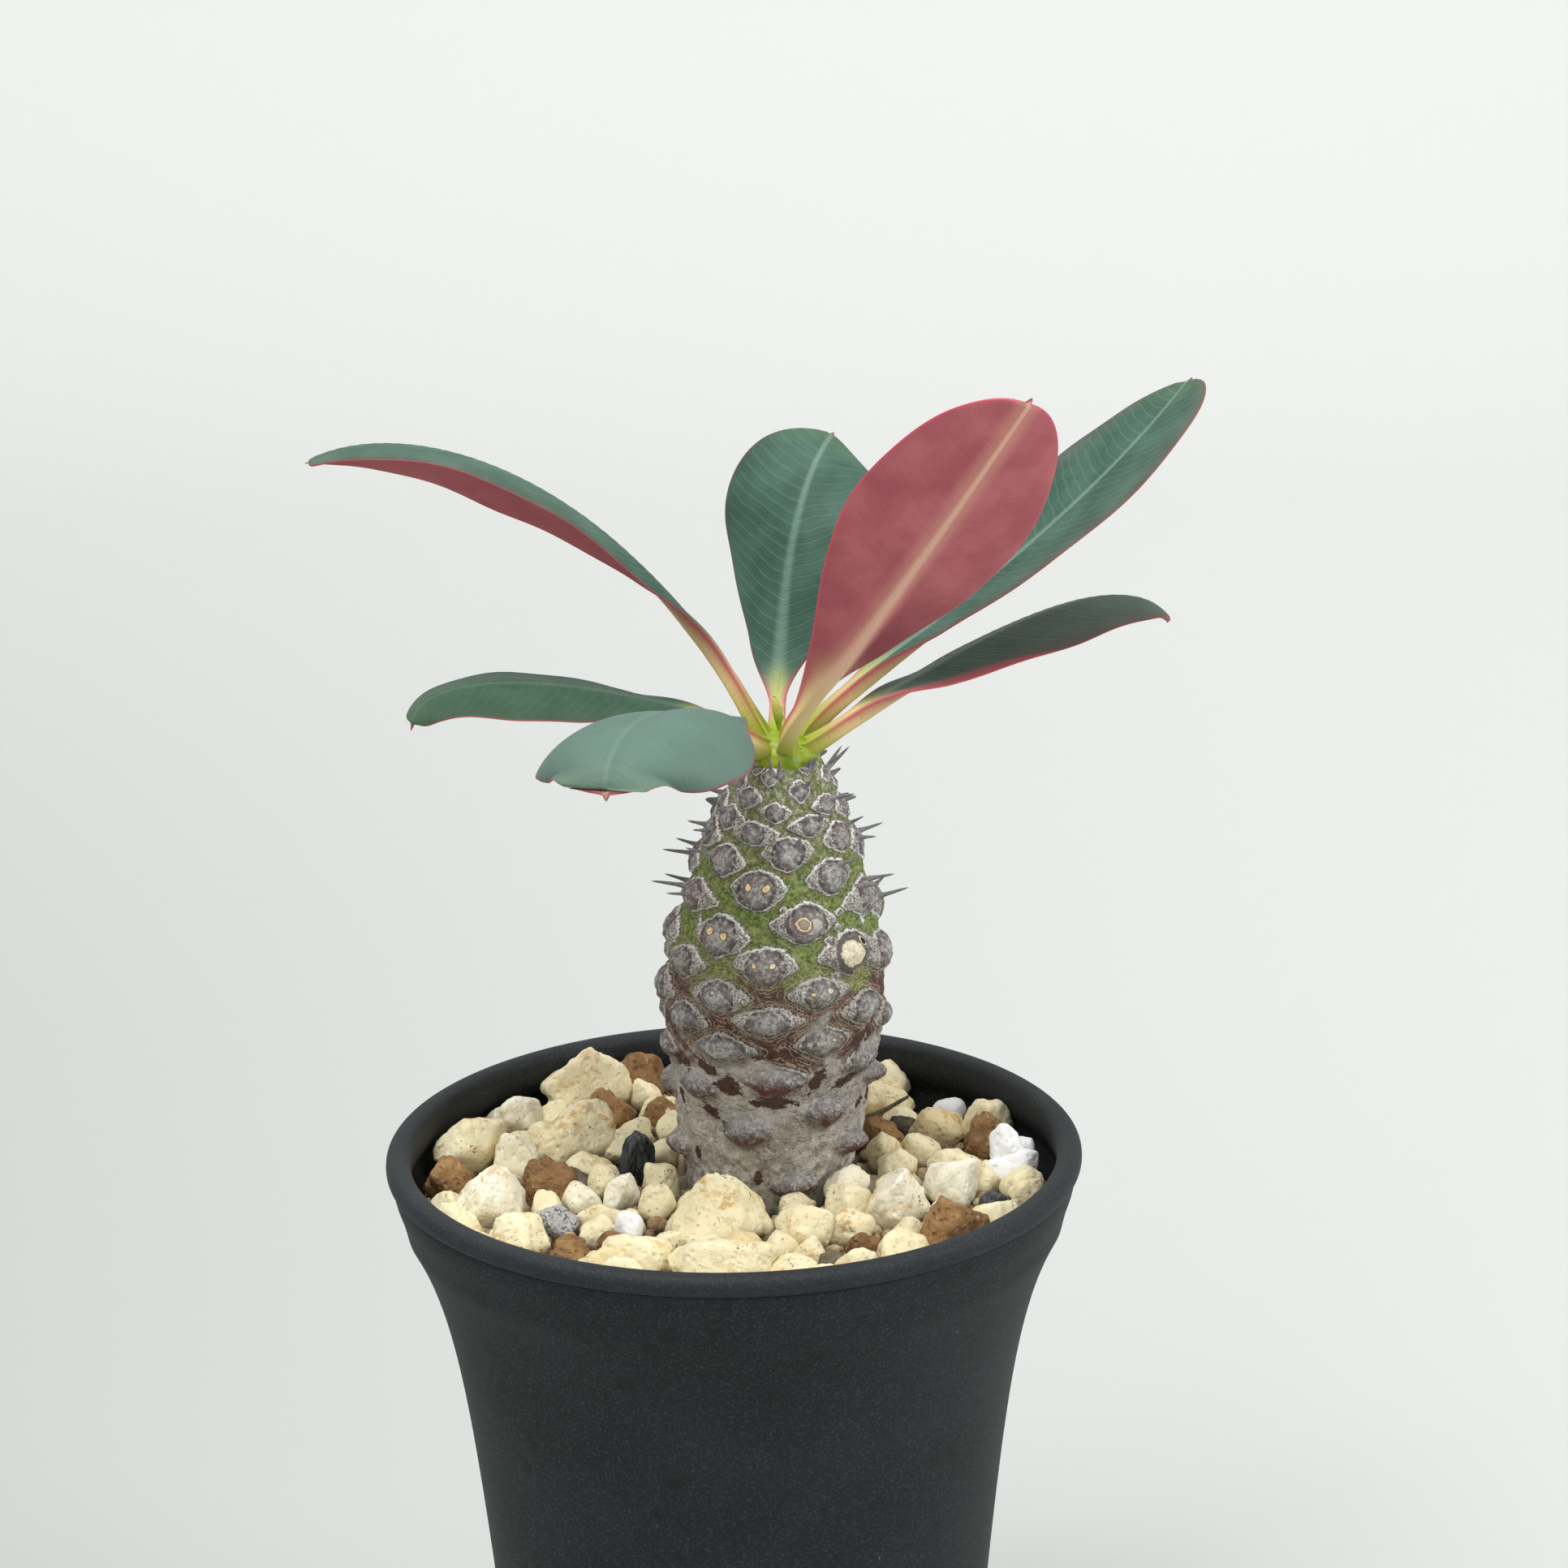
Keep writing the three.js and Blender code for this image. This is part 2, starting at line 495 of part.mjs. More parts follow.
// Stones that the photo shows: x, y, z of the middle, length, width, height, turn, tilt
const CREAM_STONES = [
  [-2, -12.5, 94.6, 13, 8, 11, 10, 0], [-1.5, -27, 94.2, 14, 9, 7, 5, 0],
  [-11.5, -24, 94, 9, 6, 6, -10, 8], [-17, -26.5, 93.6, 7, 5.5, 5.5, 20, 0],
  [-31, -5.5, 94.6, 9, 8, 10.5, 40, 12], [-27.3, -18.5, 94.2, 7, 7, 8, 60, 10],
  [-34.5, 13, 94.6, 9.5, 7, 8, 30, 0], [-28.6, 10, 94, 7, 6, 6.5, 0, 0],
  [-20.5, 16, 95, 12, 7, 9, 35, 15], [-20, 33, 96, 13, 7.5, 11, 25, 10],
  [-29.5, 25, 94, 7, 6, 6.5, 10, 0], [-23, 26.5, 93.2, 6, 5, 5, 0, 0],
  [-36.8, -4.8, 93, 6, 5, 5.5, 70, 0], [-19.3, 7.4, 94, 7, 5, 5, 15, 0],
  [-14.5, 15.4, 93.8, 6.5, 5, 5, 0, 0], [-10.2, -5.6, 93.8, 5, 4.6, 6.5, 80, 10],
  [-14.8, -2, 93.6, 5, 4, 6.5, 60, 20], [-9.6, 2.4, 93.6, 5, 4.4, 6, 0, 0],
  [-17.5, -13.4, 93.4, 5, 4.4, 4, 0, 0], [-17.6, -7.8, 93.4, 6.5, 3.2, 3.4, 20, 0],
  [21, -7.4, 94.6, 10.5, 6.6, 8, 62, 15], [28, -1.6, 94.4, 7, 6.6, 7.2, 30, 0],
  [28.6, 6.4, 94.3, 7.4, 5, 5.4, -20, 0], [24.6, 11.8, 93.8, 5.5, 5, 5, 0, 0],
  [21.4, 6.2, 93.6, 5, 4.6, 5, 0, 0], [19.8, 11.2, 93.8, 5, 4.6, 6, 0, 0],
  [14.6, -8.4, 94.4, 7, 6, 7, 50, 10], [8.8, -16.6, 94.2, 6.6, 6.2, 7.4, 10, 0],
  [14.4, -14.4, 93.8, 5.4, 5, 5.6, 0, 0], [21, -22, 94, 7, 6, 5.6, 20, 0],
  [32.8, -12, 94, 9, 5.4, 5.4, 35, 0], [37.6, -4.8, 93.4, 6, 5, 5.4, 60, 0],
  [7.4, -28, 93.8, 7.4, 5.4, 5, 0, 0], [15.4, -26.4, 93.6, 5.4, 4.8, 5, 30, 0],
  [26.8, 19.4, 94, 8, 5.4, 5.4, 10, 0], [33.8, 20, 94.2, 7, 5.6, 7, 30, 0],
  [19.6, 28.6, 94.2, 8, 6, 6, 0, 0], [20.6, 35, 94.8, 7.4, 6, 7, 0, 0],
];
const ODD_STONES = {
  clay_grain: { color: 0x96643c, roughness: 0.95, list: [
    [-37.4, 4.2, 93.8, 6, 5.4, 5.6, 0, 0], [-24.4, 1.6, 94, 8, 6, 6, 15, 0],
    [-17, 26.2, 94, 6.6, 5.8, 6, 0, 0], [33.4, 13.4, 94.2, 6.4, 5.6, 7, 0, 0],
    [18.6, 18.2, 94, 7, 4.4, 5, -20, 0], [27.6, -16.8, 94.4, 8, 6.4, 7, 25, 0],
    [16.4, -20.4, 93.6, 5, 4, 4.4, 0, 0], [-20.8, -20.4, 93.6, 5, 4.2, 4.4, 0, 0],
  ] },
  charcoal_chip: { color: 0x33363a, roughness: 0.8, list: [
    [-12.6, 8.4, 95, 4.4, 3.6, 8.4, 20, 18], [-22.2, -24.6, 93.8, 6, 3.2, 3.6, -25, 0],
    [33.6, -6.8, 93.8, 4.2, 3.6, 4.4, 30, 0],
  ] },
  white_grain: { color: 0xf0f2f2, roughness: 0.95, list: [
    [36.2, 6.4, 95.4, 7, 5, 9.5, 60, 10], [28.6, 26, 94.6, 5, 5, 5, 0, 0],
    [-13.6, -13.6, 94, 3.8, 3.4, 5.4, 0, 0],
  ] },
  grey_stone: { color: 0x9a9d9e, roughness: 0.85, list: [[-23, -10.6, 94, 5.8, 5.2, 5.2, 20, 0]] },
};

function toStone([x, y, z, length, width, height, turn, tilt], seed) {
  const seated = Math.min(z, SOIL_TOP + STONE_SEAT * height);
  return { x, y, z: seated, length, width, height, turn, tilt, seed };
}

// The rest of the surface is filled by a repeatable scatter that keeps clear of what lies there
function scatter(placed) {
  const draw = randomDraw(77);
  const stones = [];
  for (let i = 0; i < SCATTER_TRIES; i += 1) {
    const turn = 2 * Math.PI * draw();
    const away = 40 * Math.sqrt(draw());
    const size = 5 + 3.4 * draw() ** 2;
    const flat = 0.75 + 0.25 * draw();
    const spin = 360 * draw();
    const lift = draw();
    const x = away * Math.cos(turn);
    const y = away * Math.sin(turn);
    const toStem = Math.hypot(x - STEM_X, y - STEM_Y);
    const blocked = toStem < 11.6 + 0.4 * size
      || away + 0.42 * size > 41.4
      || [...placed, ...stones].some((s) => {
        const reach = 0.44 * size + 0.22 * (s.length + s.width);
        return Math.hypot(x - s.x, y - s.y) < reach;
      });
    if (blocked) continue;
    const z = SOIL_TOP + (0.15 + 0.22 * lift) * size;
    stones.push(toStone([x, y, z, size, size * flat, size * 0.95, spin, 0], 500 + stones.length));
  }
  return stones;
}

function buildSurface() {
  const cream = CREAM_STONES.map((row, i) => toStone(row, 100 + i));
  const odd = [];
  Object.entries(ODD_STONES).forEach(([kind, { color, roughness, list }], k) => {
    list.forEach((row, i) => {
      odd.push({ ...toStone(row, 300 + 20 * k + i), name: `${kind}_${i + 1}`, color, roughness });
    });
  });
  const scattered = scatter([...cream, ...odd]);

  const soilRadius = (z) => wallRadius(z) - WALL - GAP - FACET_SLACK;
  const fillProfile = [[0, FLOOR + GAP], [soilRadius(FLOOR) + FACET_SLACK, FLOOR + GAP]];
  [36, 60, 74, 83, 89, SOIL_TOP].forEach((z) => fillProfile.push([soilRadius(z), z]));
  fillProfile.push([0, SOIL_TOP]);
  const fill = toSolid(turned(fillProfile, POT_SIDES));

  // What the stones may fill: inside the pot's wall and lip
  const roomProfile = [[0, 74]];
  [74, 83, 89, 93].forEach((z) => roomProfile.push([soilRadius(z), z]));
  roomProfile.push([RIM_RADIUS - LIP_WIDTH - GAP, POT_HEIGHT - 2.4]);
  roomProfile.push([RIM_RADIUS - LIP_WIDTH - GAP, 112], [0, 112]);
  const room = toSolid(turned(roomProfile, POT_SIDES));

  // The stem with room round it: a plain hole below the surface, wider among the stones
  const holeProfile = [[0, STEM_FOOT - 0.5]];
  [STEM_FOOT - 0.5, 82, 86, SOIL_TOP].forEach((z) => holeProfile.push([stemBody(z) + STEM_HOLE_CLEAR, z]));
  [92, 97, 103].forEach((z) => holeProfile.push([stemBody(z) + STEM_STONE_CLEAR, z]));
  holeProfile.push([0, 103]);
  const hole = toSolid(turned(holeProfile, 32, STEM_X, STEM_Y));

  const oddSolids = odd.map((s) => stoneSolid(s).intersect(room).subtract(hole));
  const sockets = odd.map((s) => stoneSolid(s, GAP));
  const stones = [...cream, ...scattered].map((s) => stoneSolid(s));
  const heap = wasm.Manifold.union(stones).intersect(room);
  let bed = wasm.Manifold.union([fill, heap]).subtract(hole);
  bed = bed.subtract(wasm.Manifold.union(sockets));
  return { bed, odd, oddSolids };
}

// Assembly

addPiece('pot', potGeometry(), 0x2e3132, 0.62);

const surface = buildSurface();
addPiece('gravel_bed', toGeometry(surface.bed), 0xe6dcbc, 0.95);
surface.odd.forEach((stone, i) => {
  addPiece(stone.name, toGeometry(surface.oddSolids[i]), stone.color, stone.roughness);
});

addPiece('stem', stemGeometry(), 0x7c7a70, 0.85);

const dome = tipDome(0);
const bud = leafSolid(BUD, BUD_STATIONS);
addPiece('growing_tip', toGeometry(dome.add(bud)), 0xa9bf2c, 0.5);

const clearance = tipDome(GAP).add(toSolid(stemSkin(GAP)));
for (const leaf of LEAVES) {
  const blade = leafSolid(leaf, LEAF_STATIONS).subtract(clearance);
  addPiece(leaf.name, toGeometry(blade), leaf.name === 'leaf_near_right' ? 0x9c4650 : 0x5d8474, 0.5);
}

export default group;
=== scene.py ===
"""Potted Euphorbia pachypodioides: a short swollen stem covered in shield-like leaf cushions, with
thorns and seven open leaves round a green growing tip, in a flared black pot of mineral grit.

Lengths in this file are millimetres in the frame of the part: +Z up, origin in the middle of the
pot's base, the photo's viewer on the -Y side and +X to the right. They become metres where a mesh
is made. Azimuths are in degrees from -Y towards +X, and elevations are above the horizon.
"""

import bpy
import numpy as np
from mathutils import Matrix


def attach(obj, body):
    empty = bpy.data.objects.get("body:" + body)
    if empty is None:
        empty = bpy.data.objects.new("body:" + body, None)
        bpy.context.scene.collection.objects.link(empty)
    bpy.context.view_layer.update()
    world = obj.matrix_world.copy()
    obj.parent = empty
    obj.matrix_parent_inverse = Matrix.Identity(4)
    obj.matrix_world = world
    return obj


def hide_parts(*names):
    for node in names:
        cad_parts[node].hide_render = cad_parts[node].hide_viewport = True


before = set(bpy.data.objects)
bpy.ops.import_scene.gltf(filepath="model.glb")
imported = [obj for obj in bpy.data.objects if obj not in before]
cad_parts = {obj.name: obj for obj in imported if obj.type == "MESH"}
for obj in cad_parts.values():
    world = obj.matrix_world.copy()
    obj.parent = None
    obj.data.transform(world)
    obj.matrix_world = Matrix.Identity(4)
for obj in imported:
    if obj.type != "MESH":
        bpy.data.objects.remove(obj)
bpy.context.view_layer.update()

MM = 0.001


# Numbers shared by several shapes

GAP = 0.3
POT_HEIGHT = 100
RIM_RADIUS = 45
BASE_RADIUS = 28.7
WALL_SLOPE = 0.096
FLARE = 6.2
FLARE_HEIGHT = 92
FLARE_REACH = 11.4
WALL = 1.5
FLOOR = 2.4
LIP_WIDTH = 3.2
LIP_INSIDE = [[96.0, 41.95], [98.4, 41.8]]  # height and radius of the wall inside the lip
DRAIN_SLOTS = 6
DRAIN_LENGTH = 11
DRAIN_WIDTH = 3
DRAIN_RADIUS = 17

SOIL_TOP = 91.4
STONE_SEAT = 0.4

STEM_X = 4.4
STEM_Y = 8
LEAN = 0.0456
LEAN_FROM = 91
STEM_TOP = 149.6
STEM_COLUMNS = 400
STEM_ROWS = 236
WAIST = 1.05  # how far the stem draws in between its lowest cushions
RIM_LIFT = 0.14
KNOB_LIFT = 0.16
DISC_DIP = 0.12
SEAM_DEPTH = 0.16
CUSHION_TURN = 137.88
CUSHION_START = -9
FIRST_CUSHION = -52
LAST_CUSHION = 39
THORN_LOWEST = 127
THORN_MISSING = 0.22
THORN_SINK = 0.9
THORNS_IN_VIEW = 126


# Small tools for shapes

def random_draw(seed):
    """A repeatable stream of numbers from 0 to 1, the same as the one that sets the solids."""
    word = 0xFFFFFFFF
    state = seed

    def draw():
        nonlocal state
        state = (state + 0x6D2B79F5) & word
        t = state
        t = ((t ^ (t >> 15)) * (t | 1)) & word
        t ^= (t + (((t ^ (t >> 7)) * (t | 61)) & word)) & word
        return (t ^ (t >> 14)) / 4294967296

    return draw


def smooth(value, low=0.0, high=1.0):
    """0 below low, 1 above high, and 3t^2 - 2t^3 between."""
    t = np.clip((value - low) / (high - low), 0, 1)
    return t * t * (3 - 2 * t)


def curve_through(points, places):
    """A smooth curve through rows of place and value: cubic between rows, with the slope at each
    row taken from its two neighbours, and level beyond the ends."""
    x, y = np.asarray(points, float).T
    rows = np.arange(len(x))
    before, after = np.maximum(rows - 1, 0), np.minimum(rows + 1, len(x) - 1)
    slope = (y[after] - y[before]) / (x[after] - x[before])
    places = np.clip(np.asarray(places, float), x[0], x[-1])
    i = np.clip(np.searchsorted(x, places) - 1, 0, len(x) - 2)
    span, rise = x[i + 1] - x[i], y[i + 1] - y[i]
    t = (places - x[i]) / span
    near = slope[i] * span - rise
    far = rise - slope[i + 1] * span
    return y[i] + rise * t + t * (1 - t) * (near * (1 - t) + far * t)


def direction(azimuth, elevation=0.0):
    """Unit vector of an azimuth and an elevation, both in degrees."""
    a, e = np.radians(azimuth), np.radians(elevation)
    a, e = np.broadcast_arrays(a, e)
    return np.stack([np.cos(e) * np.sin(a), -np.cos(e) * np.cos(a), np.sin(e)], axis=-1)


def unit(vectors):
    """Vectors along the last axis, brought to length 1."""
    return vectors / np.linalg.norm(vectors, axis=-1, keepdims=True)


def waves(points, size, seed, count=16):
    """A smooth random field over points: the sum of count sines in random directions whose
    wavelengths are about size, brought to a spread of about 1."""
    rng = np.random.default_rng(seed)
    heading = unit(rng.normal(size=(count, 3)))
    heading *= 2 * np.pi / (size * rng.uniform(0.7, 1.4, (count, 1)))
    start = rng.uniform(0, 2 * np.pi, count)
    return np.sin(points @ heading.T + start).sum(axis=-1) * np.sqrt(2 / count)


def sheet_faces(rows, columns, closed=True):
    """Quads of a grid of points, row by row. Closed joins the last column to the first."""
    i = np.arange(rows - 1)[:, None]
    j = np.arange(columns if closed else columns - 1)[None, :]
    k = (j + 1) % columns
    a, b = i * columns + j, i * columns + k
    return np.stack([a, b, b + columns, a + columns], axis=-1).reshape(-1, 4)


def closed_skin(points, first, last):
    """Points and faces of a closed skin over a grid of points, whose rows are rings. Its first and
    last rings are closed on two end points."""
    rows, columns = points.shape[:2]
    count = rows * columns
    ring = np.arange(columns)
    after, top = np.roll(ring, -1), count - columns
    ends = [(count, after, ring, -1), (count + 1, ring + top, after + top, -1)]
    ends = [np.stack(np.broadcast_arrays(*corners), axis=-1) for corners in ends]
    faces = np.vstack([sheet_faces(rows, columns), *ends])
    return np.vstack([points.reshape(-1, 3), first, last]), faces


def joined(skins):
    """The points and faces of several skins as those of one."""
    starts = np.cumsum([0, *(len(points) for points, _ in skins)])
    faces = [np.where(rows < 0, -1, rows + start) for (_, rows), start in zip(skins, starts)]
    return np.vstack([points for points, _ in skins]), np.vstack(faces)


def make_mesh(name, skin, material, marks=None):
    """A smooth mesh object from a skin: points in millimetres, and rows of 4 corners, where a last
    corner of -1 makes a triangle. Marks are named numbers kept at the points."""
    points, faces = skin
    points = np.asarray(points, float).reshape(-1, 3)
    sizes = np.where(faces[:, 3] < 0, 3, 4)
    corners = faces[faces >= 0]
    mesh = bpy.data.meshes.new(name)
    mesh.vertices.add(len(points))
    mesh.vertices.foreach_set("co", (points * MM).ravel())
    mesh.loops.add(len(corners))
    mesh.loops.foreach_set("vertex_index", corners.astype(np.int32))
    mesh.polygons.add(len(faces))
    starts = np.concatenate([[0], np.cumsum(sizes)[:-1]])
    mesh.polygons.foreach_set("loop_start", starts.astype(np.int32))
    mesh.update(calc_edges=True)
    mesh.validate()
    mesh.shade_smooth()
    mesh.materials.append(material)
    for mark, values in (marks or {}).items():
        layer = mesh.attributes.new(mark, "FLOAT", "POINT")
        layer.data.foreach_set("value", np.asarray(values, np.float32).ravel())
    piece = bpy.data.objects.new(name, mesh)
    bpy.context.scene.collection.objects.link(piece)
    return piece


def seat_piece(piece, slot, *nodes):
    """The piece rides with the pot and stands for the named nodes. Slot is not used."""
    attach(piece, "root")
    if nodes:
        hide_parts(*nodes)
    return piece


# Small tools for materials

def colour(seen):
    """The linear colour of a colour as seen on a screen: red, green and blue from 0 to 255.
    Anything else, such as a Value, comes back as it is."""
    if not (isinstance(seen, tuple) and len(seen) == 3):
        return seen
    seen = np.array(seen) / 255
    linear = np.where(seen <= 0.04045, seen / 12.92, ((seen + 0.055) / 1.055) ** 2.4)
    return (*[float(c) for c in linear], 1.0)


class Value:
    """What a node puts out. Each sum, product and the like of Values adds a Math node."""

    def __init__(self, recipe, socket):
        self.recipe, self.socket = recipe, socket

    def __add__(self, other):
        return self.recipe.math("ADD", self, other)

    def __sub__(self, other):
        return self.recipe.math("SUBTRACT", self, other)

    def __rsub__(self, other):
        return self.recipe.math("SUBTRACT", other, self)

    def __mul__(self, other):
        return self.recipe.math("MULTIPLY", self, other)

    def __truediv__(self, other):
        return self.recipe.math("DIVIDE", self, other)

    def __abs__(self):
        return self.recipe.math("ABSOLUTE", self)


class Recipe:
    """A node tree being filled. Most methods add one node and give back its Value."""

    def __init__(self, tree, material=None):
        self.tree, self.material = tree, material

    def fill(self, node, inputs):
        """Joins Values to a node's sockets and sets plain numbers and colours on them."""
        for key, value in inputs.items():
            if isinstance(value, Value):
                self.tree.links.new(value.socket, node.inputs[key])
            elif value is not None:
                node.inputs[key].default_value = value
        return node

    def add(self, kind, inputs, output=0, **settings):
        node = self.tree.nodes.new("ShaderNode" + kind)
        for key, value in settings.items():
            setattr(node, key, value)
        return Value(self, self.fill(node, inputs).outputs[output])

    def group(self, tree, inputs):
        """The outputs of a group, by name."""
        node = self.tree.nodes.new("ShaderNodeGroup")
        node.node_tree = tree
        return {socket.name: Value(self, socket) for socket in self.fill(node, inputs).outputs}

    def math(self, operation, first, second=0.0, third=0.0):
        return self.add("Math", {0: first, 1: second, 2: third}, operation=operation)

    def rise(self, value, low, high):
        """0 where value is at low, 1 at high, and smooth between."""
        sockets = {"Value": value, "From Min": low, "From Max": high}
        return self.add("MapRange", sockets, "Result", interpolation_type="SMOOTHSTEP")

    def fall(self, value, low, high):
        """1 where value is at low, 0 at high, and smooth between."""
        return 1.0 - self.rise(value, low, high)

    def noise(self, place, scale, detail=3.0, roughness=0.55):
        sockets = {"Vector": place, "Scale": scale, "Detail": detail, "Roughness": roughness}
        return self.add("TexNoise", sockets, "Fac")

    def cells(self, place, scale):
        """Distance from the middle of the nearest of many cells, in cells."""
        return self.add("TexVoronoi", {"Vector": place, "Scale": scale}, "Distance")

    def marks(self, *names):
        return [self.add("Attribute", {}, "Fac", attribute_name=name) for name in names]

    def place(self):
        return self.add("TexCoord", {}, "Object")

    def coordinate(self, place, axis):
        return self.add("SeparateXYZ", {0: place}, axis)

    def stretched(self, place, scale):
        return self.add("VectorMath", {0: place, 1: scale}, operation="MULTIPLY")

    def vector(self, x, y, z):
        return self.add("CombineXYZ", {0: x, 1: y, 2: z})

    def mix(self, share, first, second):
        sockets = {0: share, 6: colour(first), 7: colour(second)}
        return self.add("Mix", sockets, 2, data_type="RGBA")

    def lay(self, base, *coats):
        """Lays coats over a base in turn. Each is a mask, how strongly it shows, and a colour."""
        for mask, strength, over in coats:
            base = self.mix(mask if strength == 1 else mask * strength, base, over)
        return base

    def finish(self, base, roughness, specular, height=None, depth=0.0):
        """Joins what varies to the material's surface shader and sets what is plain on the
        shader's own sockets. Height, from 0 to 1, raises the surface by depth millimetres."""
        normal = height and self.add("Bump", {"Height": height, "Distance": depth * MM})
        self.fill(self.tree.nodes["Principled BSDF"], {
            "Base Color": base, "Roughness": roughness, "Normal": normal,
            "Specular IOR Level": specular,
        })
        return self.material


def new_material(name):
    """The recipe of a new material."""
    material = bpy.data.materials.new(name)
    material.use_nodes = True
    return Recipe(material.node_tree, material)


def new_group(name, inputs, outputs):
    """The recipe of a new group, what the group is given by name, and the node that ends it."""
    tree = bpy.data.node_groups.new(name, "ShaderNodeTree")
    for in_out, labels in (("INPUT", inputs), ("OUTPUT", outputs)):
        for label in labels:
            kind = "NodeSocketVector" if label == "Place" else "NodeSocketFloat"
            tree.interface.new_socket(label, in_out=in_out, socket_type=kind)
    recipe = Recipe(tree)
    given = tree.nodes.new("NodeGroupInput").outputs
    given = {socket.name: Value(recipe, socket) for socket in given}
    return recipe, given, tree.nodes.new("NodeGroupOutput")


# Shared effects

VEIN_SPACING = 1.6
FINE_VEIN_SPACING = 0.53
VEIN_LEAN = 0.26
VEIN_CURVE = 0.30


def mineral_group():
    """Grain of a porous stone: dark specks, broad stains, a mottle, and a height with pits."""
    r, given, result = new_group(
        "mineral grain", ["Place", "Grain", "Speck Share", "Tone"],
        ["Specks", "Stains", "Cloud", "Height"])
    grain, shift = given["Grain"], given["Tone"] * 0.37
    place = r.add("VectorMath", {0: given["Place"], 1: r.vector(shift, shift, shift)})
    fine = r.noise(place, grain, 4.0, 0.6)
    coarse = r.noise(place, grain * 0.3)
    broad = r.noise(place, grain * 0.12, 2.0, 0.5)
    least = 0.80 - given["Speck Share"]
    specks = r.rise(fine, least, least + 0.05) * r.rise(coarse, 0.42, 0.56)
    pits = r.rise(r.cells(place, grain * 0.55), 0.05, 0.42)
    r.fill(result, {
        "Specks": specks, "Stains": r.rise(broad, 0.52, 0.72), "Cloud": coarse,
        "Height": fine * 0.45 + coarse * 0.5 + pits * 0.35 - specks * 0.3,
    })
    return r.tree


def leaf_group():
    """Marks of a leaf from its own measures: Along and Half Width in millimetres, Across from -1
    to 1. Side veins leave the midrib every millimetre or so, lean forward and curve up to the
    margin. Vein, Midrib and Margin are masks, Cloud is a soft mottle and Fine a fine one."""
    r, given, result = new_group(
        "leaf marks", ["Along", "Across", "Half Width", "Share", "Tone"],
        ["Vein", "Midrib", "Margin", "Cloud", "Fine"])
    along, across, half = given["Along"], given["Across"], given["Half Width"]
    out = abs(across)
    offset = out * half
    place = r.vector(across * half, along, given["Tone"])
    sway = (r.noise(place, 0.25, 1.0, 0.5) - 0.5) * 1.1
    lean = offset * VEIN_LEAN + offset * out * VEIN_CURVE
    phase = along - lean + (sway + r.math("SIGN", across) * 0.35)

    def lines(spacing, width):
        return r.fall(abs(r.math("FRACT", phase / spacing) - 0.5), 0.0, width)

    vein = r.math("MAXIMUM", lines(VEIN_SPACING, 0.10), lines(FINE_VEIN_SPACING, 0.2) * 0.35)
    rib = r.math("POWER", 1.0 - given["Share"], 1.4) * 1.15 + 0.36
    r.fill(result, {
        "Vein": vein * r.fall(out, 0.86, 0.98),
        "Midrib": r.fall(offset, rib * 0.15, rib * 1.35),
        "Margin": r.fall((1.0 - out) * half, 0.10, 0.34),
        "Cloud": r.noise(place, 0.16, 3.0, 0.5), "Fine": r.noise(place, 3.2, 3.0, 0.6),
    })
    return r.tree


MINERAL = mineral_group()
LEAF_MARKS = leaf_group()


# Materials

PAINTED_SHADE_BELOW = 0.0905  # below this height, in metres, a stone is painted darker as shade where it sinks into the grit


def pot_material():
    """Matte black moulded plastic: a fine grain, faint round water marks, a few pale nicks, and a
    paler band on the lip that is a painted highlight.
    """
    r = new_material("pot plastic")
    place = r.place()
    grain = r.noise(place, 5200, 3.0, 0.65)
    cloud = r.noise(place, 60, 4.0)
    drops = r.fall(r.cells(place, 210), 0.22, 0.36)
    nicks = r.fall(r.cells(r.stretched(place, (1.0, 1.0, 0.45)), 420), 0.02, 0.07)
    base = r.lay(
        r.mix(r.rise(cloud, 0.3, 0.7), (21, 24, 27), (30, 33, 36)),
        (r.rise(r.noise(place, 2600, 4.0, 0.75), 0.52, 0.62), 0.45, (70, 74, 77)),
        (drops * r.rise(r.noise(place, 140, 1.0, 0.5), 0.52, 0.62), 0.5, (17, 19, 21)),
        (nicks * r.rise(r.noise(place, 90, 2.0), 0.58, 0.66), 0.6, (140, 146, 148)),
        # Painted highlight: the lip is painted paler, as the sheen where it catches the light.
        (r.rise(r.coordinate(place, 2), 0.0955, 0.0985), 0.22, (62, 67, 70)),
    )
    return r.finish(base, grain * 0.22 + 0.52, 0.25, grain + cloud * 0.3, 0.05)


def stone_material(name, pale, deep, speck, stain, grain, speck_share, stained, depth):
    """A porous grain: pale where its tone is high, deep where low, with specks and stains, and
    painted darker as shade where it is bedded in the grit."""
    r = new_material(name)
    [tone], place = r.marks("tone"), r.place()
    marks = r.group(MINERAL, {
        "Place": place, "Grain": grain, "Speck Share": speck_share, "Tone": tone})
    base = r.lay(
        r.mix(r.rise(marks["Cloud"] * 0.7 + tone * 0.3, 0.25, 0.72), deep, pale),
        (marks["Stains"], stained, stain),
        (marks["Specks"], 0.8, speck),
        # Painted shade: low on the stone, where it sinks into the grit, the colour is darkened.
        (r.fall(r.coordinate(place, 2), PAINTED_SHADE_BELOW, 0.0940), 0.6, (84, 66, 46)),
    )
    return r.finish(base, 0.92, 0.25, marks["Height"], depth)


